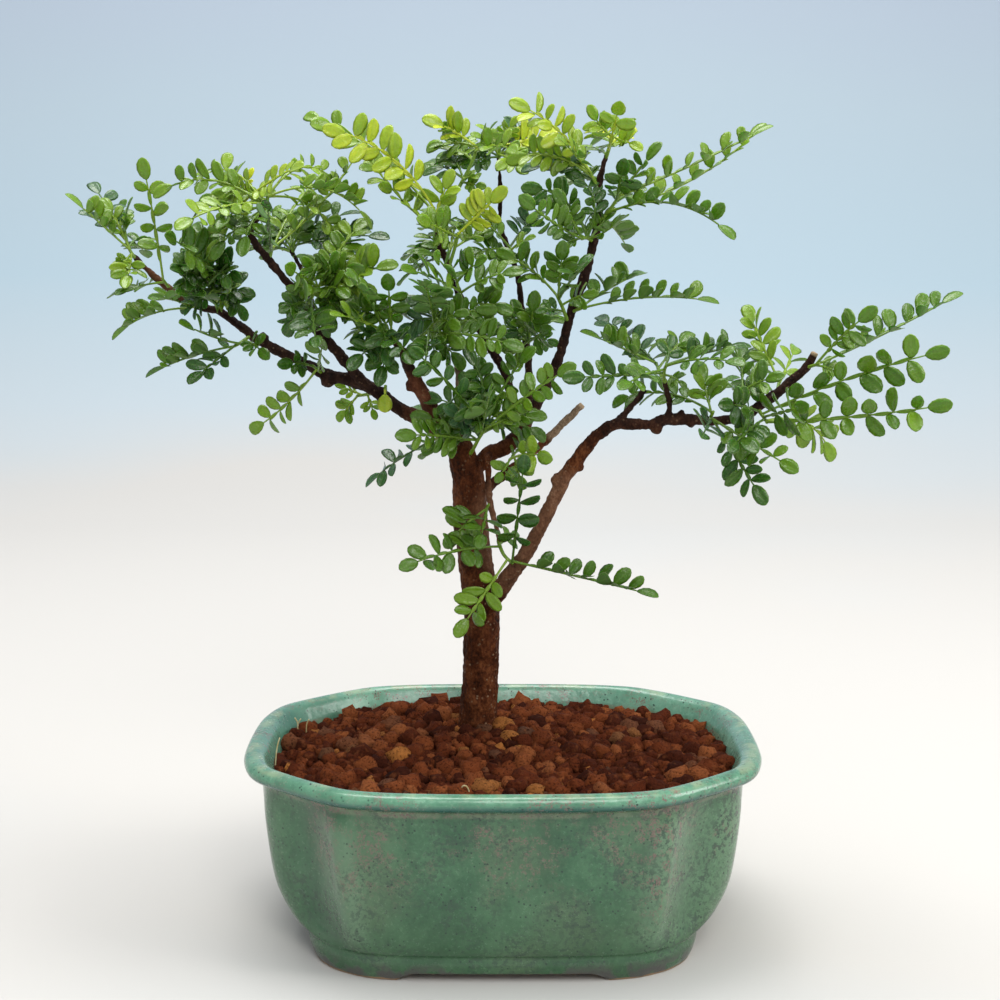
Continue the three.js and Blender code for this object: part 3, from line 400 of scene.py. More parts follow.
coat = layered(
    jade,
    (glaze.noise(30).between(0.44, 0.66) * 0.4, (0.11, 0.15, 0.082)),
    # Painted shade: the wall darkens towards the foot, under the light from above.
    ((1.0 - level.between(2, 46)) * 0.34, (0.034, 0.074, 0.026)),
    # Painted highlight on the crests of the folds, with glaze that thins there.
    (crest * on_wall * 0.42, (0.165, 0.27, 0.165)),
    # Painted shade in the hollows beside the folds, with glaze that pools there.
    (hollow * on_wall * 0.36, (0.02, 0.084, 0.04)),
    (level.between(64.4, 66.4), lip_jade),
    # Painted light: the inner walls are lighter.
    (inner_side * 0.9, inner_jade_painted_light),
    # Painted shade: the inner wall towards the left end is darker.
    (inner_side * (1.0 - aside.between(-88, -40)) * 0.6, (0.06, 0.175, 0.118)),
    # Pooled glaze and painted shade under the lip.
    (pooled_glaze_and_shade * (0.45 + glaze.noise(9, 2.0) * 0.7), (0.008, 0.085, 0.07)),
    (seam * glaze.noise(12).between(0.36, 0.56) * 0.45, (0.25, 0.26, 0.165)),
    # Painted light: the right part of the long walls is lighter, where the right lamp falls.
    (aside.between(26, 84) * on_wall * 0.45, (0.16, 0.275, 0.158)),
    (mottle * off_lip * 0.84, (0.03, 0.058, 0.04)),
    (specks * 0.9, (0.012, 0.026, 0.02)),
    (rosy * 0.9, (0.19, 0.12, 0.1)),
    (lip_edge * 0.4, (0.42, 0.44, 0.25)),
    (foot_tint * 0.9, ragged.mix((0.03, 0.024, 0.024), (0.12, 0.11, 0.105))),
    (bare_clay, (0.33, 0.205, 0.115)),
    (underneath, (0.3, 0.19, 0.11)),
)
pot_material = glaze.shade({
    "Base Color": coat,
    "Roughness": 0.15 + flecks * 0.2 + bare_clay * 0.4 + foot_tint * 0.15,
    "Normal": glaze.bump(glaze.noise(2.6) + glaze.noise(11, 2.0) * 2.0, 0.2),
    "Coat Weight": 0.2 - bare_clay * 0.2,
    "Coat Roughness": 0.08,
    "IOR": 1.5,
})
wear(pot, pot_material)
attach(pot, "root")
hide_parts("pot")

# The drain meshes
# Two squares of coarse plastic net, laid on the pot's floor over the drainage holes before the soil
# goes in. The solids have their true shape, so they only get their finish.
net = Finish("drain_net")
net_tone = net.noise(4, 2.0)
net_material = net.shade({
    "Base Color": net_tone.colours((0.3, (0.012, 0.012, 0.013)), (0.7, (0.032, 0.033, 0.034))),
    "Roughness": 0.5 + net_tone * 0.2,
    "Normal": net.bump(net.noise(0.7, 2.0), 0.05),
})
for net_node in ("drain_mesh_left", "drain_mesh_right"):
    wear(frame["nodes"][net_node], net_material)

# The soil
# Fired porous clay, sieved to grains of 3 to 7 mm, poured round the roots and heaped a little at
# the trunk. The bed's solid stays under a loose layer of separate broken grains.
SOIL_TOP = 63
MOUND_RISE = 4.5
MOUND_REACH = 26
# How far the bed's edge stands in from the rim, at the sides and at the front, and how deep the
# grains' seats lie under its top.
BED_INSET = (12.4, 10.6)
BED_SINK = 0.4
BED_TURNS = 26
MOST_GRAINS = 90000.0
# How rough a grain is, by large lumps and by small chips, and how flat it is.
GRAIN_LUMPS = 0.55
GRAIN_CHIPS = 0.26
GRAIN_FLATNESS = 0.86
GRAIN_SHAPES = 6
# The two layers of grains: how far apart they lie, how small and how large they are, and a seed.
GRAIN_LAYERS = [(5.2, 5.2, 10.2, 11), (3.0, 2.6, 5.2, 16)]
# How deep in the pot the tree stands, and where the photograph was taken from.
TRUNK_AWAY = 20
EYE = np.array([-1.0, -551.0, 253.0])


def place(across, up, away):
    """A point of the tree as it is seen from in front, slid back along the line of sight."""
    on_plane = np.array([across, TRUNK_AWAY, up], float)
    stretch = (TRUNK_AWAY + away - EYE[1]) / (TRUNK_AWAY - EYE[1])
    return EYE + (on_plane - EYE) * stretch


TRUNK_BASE = place(-9.4, 66, 0)


def bed_height(across, away):
    reach = (across - TRUNK_BASE[0]) ** 2 + (away - TRUNK_BASE[1]) ** 2
    return SOIL_TOP + MOUND_RISE * math.exp(-reach / (2 * MOUND_REACH ** 2))


def broken_grain(index):
    """A lump with flat broken faces, one unit wide."""
    bpy.ops.mesh.primitive_ico_sphere_add(subdivisions=2, radius=0.5)
    grain = bpy.context.object
    grain.name = f"grain_{index}"
    for vertex in grain.data.vertices:
        start = vertex.co * 3.1 + Vector((index * 7.3, 2.1, 0.4))
        lump = 1 + GRAIN_LUMPS * noise.noise(start) + GRAIN_CHIPS * noise.noise(start * 2.7)
        vertex.co = vertex.co * lump
        vertex.co.z *= GRAIN_FLATNESS
    for face in grain.data.polygons:
        face.use_smooth = True
    return grain


def geometry_tree(name, sockets):
    """An empty geometry tree with named inputs. Gives the tree and a flow for each input."""
    tree = bpy.data.node_groups.new(name, "GeometryNodeTree")
    tree.interface.new_socket("Geometry", in_out="OUTPUT", socket_type="NodeSocketGeometry")
    for label, kind in [("Geometry", "Geometry")] + sockets:
        tree.interface.new_socket(label, in_out="INPUT", socket_type="NodeSocket" + kind)
    start = tree.nodes.new("NodeGroupInput")
    return tree, {socket.name: Flow(tree, socket) for socket in start.outputs if socket.name}


def close_tree(tree, geometry, material):
    """Ends a tree: copies become real, and take their finish."""
    real = node(tree, "GeometryNodeRealizeInstances", None, {0: geometry})
    worn = node(tree, "GeometryNodeSetMaterial", None, {"Geometry": real, "Material": material})
    node(tree, "NodeGroupOutput", None, {0: worn})


def grow(piece, tree, values):
    """Runs a tree on a piece and leaves the plain mesh that it makes."""
    run = piece.modifiers.new(tree.name, "NODES")
    run.node_group = tree
    for item in tree.interface.items_tree:
        if item.in_out == "INPUT" and item.name in values:
            run[item.identifier] = values[item.name]
    return settle(piece)


def soil_bed():
    """The surface that the grains lie on: the bed's top, out to the pot's wall."""
    edge = pot_ring(SOIL_TOP, *BED_INSET, 0)[:, :2]
    turns = [edge * share for share in np.linspace(0.02, 1, BED_TURNS)]
    points = [(x, y, bed_height(x, y) - BED_SINK) for turn in turns for x, y in turn]
    faces = skin_faces(len(turns), len(turns[0]))
    return mesh_object("clay_grains", np.array(points) * MM, faces[:-1])


def random_value(low, high, seed, kind="FLOAT"):
    """A random number or vector for each point, between a low and a high one."""
    sockets = {"FLOAT": ("Min_001", "Max_001", 1), "FLOAT_VECTOR": ("Min", "Max", 0)}
    low_socket, high_socket, out = sockets[kind]
    made = grain_tree.nodes.new("FunctionNodeRandomValue")
    made.data_type = kind
    by_name = {socket.identifier: socket for socket in made.inputs}
    for label, value in ((low_socket, low), (high_socket, high), ("Seed", seed)):
        if isinstance(value, Flow):
            grain_tree.links.new(value.socket, by_name[label])
        else:
            by_name[label].default_value = value
    return Flow(grain_tree, made.outputs[out])


grain_tree, grain_in = geometry_tree("scattered_grains", [
    ("Grain shapes", "Collection"), ("Spacing", "Float"), ("Smallest", "Float"), ("Largest", "Float"),
    ("Seed", "Int"), ("Finish", "Material"),
])
seats = node(grain_tree, "GeometryNodeDistributePointsOnFaces", {"distribute_method": "POISSON"}, {
    "Mesh": grain_in["Geometry"], "Distance Min": grain_in["Spacing"], "Density Max": MOST_GRAINS,
    "Seed": grain_in["Seed"]})
grain_shapes = node(grain_tree, "GeometryNodeCollectionInfo", None, {
    "Collection": grain_in["Grain shapes"], "Separate Children": True, "Reset Children": True})
turned = random_value((0, 0, 0), (math.tau,) * 3, grain_in["Seed"], "FLOAT_VECTOR")
turned = node(grain_tree, "FunctionNodeEulerToRotation", None, {0: turned})
grain_size = random_value(0.0, 1.0, grain_in["Seed"] + 1)
grain_size = grain_in["Smallest"] + (grain_in["Largest"] - grain_in["Smallest"]) * grain_size * grain_size
grains = node(grain_tree, "GeometryNodeInstanceOnPoints", None, {
    "Points": seats, "Instance": grain_shapes, "Pick Instance": True, "Rotation": turned,
    "Scale": grain_size})
grains = node(grain_tree, "GeometryNodeStoreNamedAttribute", {"data_type": "FLOAT", "domain": "INSTANCE"}, {
    "Geometry": grains, "Name": "tone", "Value": random_value(0.0, 1.0, grain_in["Seed"] + 2)})
close_tree(grain_tree, grains, grain_in["Finish"])


def clay_finish(name, tone_of):
    """Fired clay, from burnt to orange by its tone, with dark pores and pale dust."""
    clay = Finish(name)
    pores = clay.noise(0.9, 4.0, rough=0.7)
    dust = clay.noise(2.6)
    fired = tone_of(clay).colours(
        (0.0, (0.034, 0.008, 0.004)), (0.35, (0.092, 0.02, 0.007)), (0.7, (0.172, 0.044, 0.014)),
        (0.88, (0.255, 0.078, 0.026)), (0.95, (0.09, 0.04, 0.024)), (0.995, (0.38, 0.14, 0.034)),
    )
    colour = (0.25 + pores.between(0.36, 0.5) * 0.75).mix((0.016, 0.004, 0.002), fired)
    colour = (dust.between(0.52, 0.72) * 0.3).mix(colour, (0.27, 0.088, 0.032))
    return clay.shade({
        "Base Color": colour,
        "Roughness": 0.86 + pores * 0.12,
        "Normal": clay.bump(pores + dust, 1.1),
        "Specular IOR Level": 0.06,
    })


grain_clay = clay_finish("clay_grain", lambda clay: clay.attribute("tone"))
# The bed takes only the darker half of the clay's tones: a painted shade in the gaps between the grains.
bed_clay_painted_shade = clay_finish("clay_bed_painted_shade", lambda clay: clay.noise(3.0, 2.0) * 0.5)
wear(frame["nodes"]["soil"], bed_clay_painted_shade)
grain_store = bpy.data.collections.new("grain_shapes")
for index in range(GRAIN_SHAPES):
    grain = broken_grain(index)
    for user in grain.users_collection:
        user.objects.unlink(grain)
    grain_store.objects.link(grain)
for layer, (spacing, smallest, largest, seed) in enumerate(GRAIN_LAYERS):
    scatter = soil_bed()
    scatter.name = f"clay_grains_{layer}"
    grow(scatter, grain_tree, {
        "Grain shapes": grain_store, "Spacing": spacing * MM, "Smallest": smallest * MM,
        "Largest": largest * MM, "Seed": seed, "Finish": grain_clay})
    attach(scatter, "root")
for grain in list(grain_store.objects):
    bpy.data.objects.remove(grain)

# The wood
# A slim trunk with a second leader, arching side branches, two saw-cut stubs and a cut branch tip,
# grown as one piece. The bark is thin and dark brown, reddish on young wood, with pale pores.

# Stations of each limb, from its root to its tip: across, up, away and radius.
LIMBS = {
    "trunk": [
        (-9.4, 66, 0, 7.8), (-9.3, 71, 0, 7.3), (-8.4, 88, 0, 6.9), (-8.2, 114, 0, 6.8),
        (-11.6, 142, 0, 6.5), (-12.2, 155, -0.5, 6.5), (-13.2, 164, -1, 6.0), (-15.4, 172, -1.5, 5.2),
        (-17.8, 179.5, -2, 4.2)],
    "front_limb": [
        (-14, 172, -3, 3.6), (-21, 181, -6, 3.2), (-26, 188, -9, 2.9), (-34.2, 203, -13, 2.1),
        (-36.2, 208.5, -14, 1.8), (-40.5, 214.5, -15, 1.2)],
    "front_fork": [(-35.6, 206.5, -14, 1.6), (-33.6, 211, -15, 1.5), (-29.8, 215.4, -16.5, 1.0)],
    "left_limb": [
        (-14, 170, -1, 3.9), (-22, 180, 1, 3.1), (-38, 188.5, 5, 2.6), (-47, 195.5, 6, 2.6),
        (-56, 199.3, 7, 2.5), (-65, 201.2, 8, 2.3), (-72, 205, 8, 2.0), (-88, 212.8, 10, 1.8),
        (-96, 218.8, 10, 1.6), (-104, 224.5, 10, 1.5), (-113, 226.8, 11, 1.4), (-125, 235.2, 12, 1.3),
        (-134.6, 244.8, 13, 0.9)],
    "upper_left": [
        (-50, 196.5, 6, 2.2), (-63, 212, 1, 1.9), (-68.5, 218, -2, 1.8), (-76.7, 232.3, -6, 1.6),
        (-88.5, 247, -10, 1.5), (-91.6, 252.6, -11, 1.3), (-90, 257, -11, 1.1), (-86.5, 260.5, -12, 0.9)],
    "thin_left": [
        (-69.5, 219.5, -2, 1.3), (-70.3, 229, 5, 1.1), (-72, 237, 9, 1.0), (-77, 246.5, 14, 0.7)],
    "second_leader": [
        (-12, 165, 1, 3.4), (-5, 171.5, 3, 3.0), (1.5, 174.5, 4, 2.9), (6.5, 180, 5, 2.8),
        (9.3, 187, 6, 2.4)],
    "centre_left": [
        (6.5, 180, 5, 2.0), (4.3, 189, 4, 1.9), (0.5, 202, 0, 1.7), (-9, 218.4, -6, 1.4),
        (-13, 223.5, -8, 1.35), (-19.4, 240, -11, 1.2), (-24, 251, -12, 0.9), (-23.6, 258.7, -12, 0.7)],
    "centre": [
        (9.3, 184, 6, 2.0), (9.6, 204, 14, 1.6), (7.4, 222, 19, 1.3), (5.0, 239.5, 22, 1.2),
        (-0.6, 254.5, 24, 1.0), (-0.8, 266, 24, 0.9), (-1.5, 279.5, 24, 0.7)],
    "centre_right": [
        (8.2, 183, 5, 2.4), (12.5, 190.5, 2, 2.2), (20.2, 206, -3, 1.9), (25, 223.7, -5, 1.7),
        (30.5, 239.5, -7, 1.7), (34.3, 255, -8, 1.5), (35.2, 262, -9, 1.5), (34.8, 269.7, -9, 1.4),
        (37.4, 281, -10, 0.8)],
    "right_limb": [
        (-8, 110, -2, 3.8), (-3, 117.5, -6, 3.5), (9, 134.5, -12, 2.9), (18.8, 154, -17, 2.6),
        (23.2, 163, -19, 2.8), (31.6, 174.8, -22, 2.3), (36.7, 180.2, -24, 2.2), (43, 183.2, -26, 2.1),
        (54, 182.7, -28, 1.9), (62, 184.8, -29, 2.0), (79, 184.2, -31, 1.7), (87, 185.5, -32, 1.7),
        (96, 190.3, -33, 1.8), (110.5, 202.6, -33, 1.7), (115, 209.3, -34, 1.2)],
    "right_spur": [(60.5, 184.5, -29, 1.5), (61.7, 190, -29, 1.1), (59.3, 200, -30, 0.8)],
    "right_stick": [(41, 182.5, -26, 1.3), (48.5, 190.5, -22, 1.1), (52.3, 196, -21, 1.1)],
    "end_spur": [(86, 185.2, -32, 1.3), (86, 192.5, -32, 0.9)],
    "cut_stub": [(-7, 158, 3, 2.2), (3, 166, 9, 1.7), (12.5, 173.6, 13, 1.5), (29.7, 190.3, 17, 1.5)],
    "old_apex": [
        (-16.4, 174, 1, 3.6), (-15.6, 186, 5, 3.0), (-15.4, 195, 6, 2.2), (-16.2, 205.5, 7, 1.4)],
    "low_twig": [
        (-5.4, 171.6, 2, 1.5), (-5.6, 167, -6, 1.4), (-4.6, 153.6, -9, 1.1), (-1.6, 141, -10, 0.8),
        (-1.2, 136.5, -10, 0.6)],
}
# Swellings where branches were cut or forked: across, up, away and radius.
KNOTS = [
    (-64.5, 199, 7, 2.8), (-88, 214.4, 10, 2.4), (-33.5, 197.5, -11, 2.6), (20.6, 161.6, -18.5, 3.0),
    (57, 181.4, -28.5, 2.4), (-7.4, 158.5, -1.5, 3.0),
]
# Small hard nubs on the thin branches, where leaves and thorns have dropped: across, up and radius.
NUBS = [
    (57, 181, 1.5), (66.5, 188, 1.4), (70, 181.5, 1.3), (33, 178.5, 1.6), (29.5, 166.5, 1.9),
    (19.5, 163, 1.4), (-64.5, 199, 1.5), (-87, 213.5, 1.3), (-97, 219, 1.2), (-36, 196, 1.7),
    (-70, 203.5, 1.3), (47, 184.5, 1.3),
]
# How large a nub is beside its radius, and how far out it sits from the branch's middle.
NUB_SIZE = 0.8
NUB_SEAT = 0.72
# The trunk's foot goes down into the soil to this height.
FOOT_BOTTOM = 48
FOOT_RADIUS = 7.4
BARK_DETAIL = 0.5
LIMB_SIDES = 14
LIMB_STEPS = 5


def turn_frames(middles):
    """Two directions square to a path at each of its points, without twist."""
    side = np.array([0.0, -1.0, 0.0])
    sides, others = [], []
    for index in range(len(middles)):
        along = middles[min(index + 1, len(middles) - 1)] - middles[max(index - 1, 0)]
        along = along / np.linalg.norm(along)
        side = side - along * side.dot(along)
        side = side / np.linalg.norm(side)
        sides.append(side)
        others.append(np.cross(along, side))
    return np.array(sides), np.array(others)


def tubes(routes, sides):
    """Closed round tubes along routes of points with a radius each: all their points and faces."""
    points, faces = [], []
    angles = np.arange(sides) * math.tau / sides
    for route in routes:
        first = len(points)
        for middle, side, other in zip(route, *turn_frames(route[:, :3])):
            turn = np.outer(np.cos(angles), side) + np.outer(np.sin(angles), other)
            points += list(middle[:3] + middle[3] * turn)
        faces += [tuple(first + corner for corner in face) for face in skin_faces(len(route), sides)]
    return np.array(points), faces


def add_ball(shape, point, radius):
    """A round lump at a point of the tree."""
    ball = bmesh.ops.create_icosphere(shape, subdivisions=2, radius=radius * MM)
    bmesh.ops.translate(shape, verts=ball["verts"], vec=metres(*place(*point)))


def grow_wood():
    """All limbs, knots and nubs and the buried foot, fused to one piece with a rough skin."""
    limbs = [[(*place(*spot), radius) for *spot, radius in stations] for stations in LIMBS.values()]
    routes = [smooth_through(limb, LIMB_STEPS, False) for limb in limbs]
    points, faces = tubes(routes, LIMB_SIDES)
    wood = mesh_object("bark_wood", points * MM, faces)
    shape = bmesh.new()
    shape.from_mesh(wood.data)
    for *spot, radius in KNOTS:
        add_ball(shape, spot, radius)
    stations = np.concatenate([smooth_through(limb, LIMB_STEPS, False) for limb in LIMBS.values()])[:, :3]
    for across, up, radius in NUBS:
        nearest = stations[np.argmin(np.hypot(stations[:, 0] - across, stations[:, 1] - up))]
        seat = nearest + (np.array([across, up, nearest[2]]) - nearest) * NUB_SEAT
        add_ball(shape, seat, radius * NUB_SIZE)
    foot_top = TRUNK_BASE[2] + 1
    foot = bmesh.ops.create_cone(
        shape, segments=24, radius1=FOOT_RADIUS * MM, radius2=FOOT_RADIUS * MM, cap_ends=True,
        depth=(foot_top - FOOT_BOTTOM) * MM)
    foot_middle = metres(TRUNK_BASE[0], TRUNK_BASE[1], (foot_top + FOOT_BOTTOM) / 2)
    bmesh.ops.translate(shape, verts=foot["verts"], vec=foot_middle)
    bmesh.ops.recalc_face_normals(shape, faces=shape.faces)
    shape.to_mesh(wood.data)
    shape.free()
    fuse = wood.modifiers.new("fuse", "REMESH")
    fuse.mode = "VOXEL"
    fuse.voxel_size = BARK_DETAIL * MM
    fuse.use_smooth_shade = True
    ease = wood.modifiers.new("ease", "SMOOTH")
    ease.iterations = 3
    settle(wood)
    count = len(wood.data.vertices)
    places, normals = np.empty(count * 3), np.empty(count * 3)
    wood.data.vertices.foreach_get("co", places)
    wood.data.vertices.foreach_get("normal", normals)
    ridges = [noise.noise(Vector((x * 260, y * 260, z * 170))) for x, y, z in places.reshape(-1, 3)]
    grit = [noise.noise(Vector((x * 800, y * 800, z * 560))) for x, y, z in places.reshape(-1, 3)]
    rough = np.array(ridges) * 0.5 + np.array(grit) * 0.34
    places += normals * np.repeat(rough, 3) * MM
    wood.data.vertices.foreach_set("co", places)
    wood.data.update()
    return wood


def near(point, radius):
    """1 round a point of the tree and 0 further off than a radius in millimetres."""
    spot = tuple(place(*point) * MM)
    far = bark.vectors("DISTANCE", bark.place, spot, 1) * 1000.0
    return 1.0 - far.between(radius * 0.75, radius)


wood = grow_wood()
bark = Finish("bark")
height = bark.axis(2)
bark_blotch = bark.noise(5, 4.0, (1, 1, 0.7), 0.6)
bark_grain = bark.noise(1.0, 4.0, (1, 1, 0.75), 0.7)
bark_tone = bark_blotch * 0.55 + bark_grain * 0.45
low_bark = bark_tone.colours(
    (0.36, (0.012, 0.003, 0.001)), (0.5, (0.078, 0.02, 0.006)), (0.66, (0.2, 0.068, 0.024)))
high_bark = bark_tone.colours(
    (0.32, (0.006, 0.0035, 0.003)), (0.5, (0.024, 0.01, 0.007)), (0.74, (0.08, 0.038, 0.024)))
red_bark = bark_tone.colours(
    (0.3, (0.034, 0.01, 0.005)), (0.53, (0.135, 0.042, 0.018)), (0.73, (0.27, 0.105, 0.052)))
pale_bark = bark_tone.colours(
    (0.3, (0.06, 0.024, 0.013)), (0.52, (0.2, 0.092, 0.05)), (0.72, (0.4, 0.225, 0.14)))
stub_bark = bark_grain.colours((0.35, (0.16, 0.108, 0.068)), (0.6, (0.36, 0.26, 0.17)))
pores = (1.0 - bark.cells(1.9).between(0.12, 0.3)) * bark.noise(6, 2.0).between(0.42, 0.6)
stub_wood = (near((24, 184.5, 16), 12) + near((-15.6, 192, 6), 13)) * 0.7
cut_ends = near((30.6, 191.2, 17), 3.4) + near((115.4, 210.2, -34), 2.6) + near((-16.2, 206, 7), 3.0)
bark_colour = layered(
    low_bark,
    (height.between(172, 192), high_bark),
    (near((-27, 190, -9), 17) * 0.75, red_bark),
    (near((14, 142, -14), 30) * 0.8, pale_bark),
    (pores * (1.0 - height.between(110, 200) * 0.6) * 0.75, (0.3, 0.185, 0.11)),
    (near((-122, 233, 12), 14) * 0.6, (0.15, 0.062, 0.026)),
    (stub_wood, stub_bark),
    (cut_ends, (0.42, 0.3, 0.19)),
)
bark_material = bark.shade({
    "Base Color": bark_colour,
    "Roughness": 0.5 + bark_grain * 0.25,
    "Normal": bark.bump(bark_grain + bark_blotch * 0.8 + pores * 0.4, 0.7),
    "Specular IOR Level": 0.08,
})
wear(wood, bark_material)
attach(wood, "root")
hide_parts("wood")

# The rootlets
# A few dry, pale rootlets and thin sprouts that stick out of the grains near the rim. They are
# loose at one end and held by the soil at the other.
ROOTLETS = [
    [(-14.5, -47, 62), (-14, -48, 66.8), (-12.6, -48.6, 67.6), (-11.6, -48.4, 65.8), (-11.2, -48.2, 62)],
    [(-78.8, 20, 62), (-78.6, 19.8, 67.5), (-79.6, 19.6, 69.8)],
    [(-78.6, 19.8, 62), (-78.4, 19.8, 67.2), (-77.2, 19.6, 69.4)],
    [(-75.4, 20.6, 62), (-75.2, 20.4, 66.8), (-74.2, 20.2, 69.0)],
    [(-82.4, -15, 60), (-82, -14.8, 66), (-81.4, -14.2, 70.2), (-80.6, -13.4, 73)],
]
ROOTLET_RADIUS = 0.26
ROOTLET_SIDES = 6
ROOTLET_STEPS = 4
strands = [[(*stop, ROOTLET_RADIUS) for stop in stops] for stops in ROOTLETS]
routes = [smooth_through(strand, ROOTLET_STEPS, False) for strand in strands]
points, faces = tubes(routes, ROOTLET_SIDES)
rootlets = mesh_object("rootlets", points * MM, faces)
face_outwards(rootlets)
straw = Finish("rootlet_straw")
straw_tone = straw.noise(2, 2.0)
wear(rootlets, straw.shade({
    "Base Color": straw_tone.colours((0.3, (0.42, 0.33, 0.13)), (0.7, (0.62, 0.56, 0.33))),
    "Roughness": 0.5 + straw_tone * 0.2,
}))
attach(rootlets, "root")

# The leafy shoots
# Green twigs with compound leaves, each a winged rib with pairs of small glossy leaflets and one at
# its end. Each shoot grows from the wood as one piece. Old fronds are dark and young ones are lime.

ROOT_SPACING = 1.1
LEAFLET = 8.2
LONGEST_STALK = 9
TWIG_RADIUS = 0.8
TWIG_RADII = (0.85, 0.55)
TWIG_TONE = 0.58
TWIG_STEPS = 4
STALK_SIDES = 6
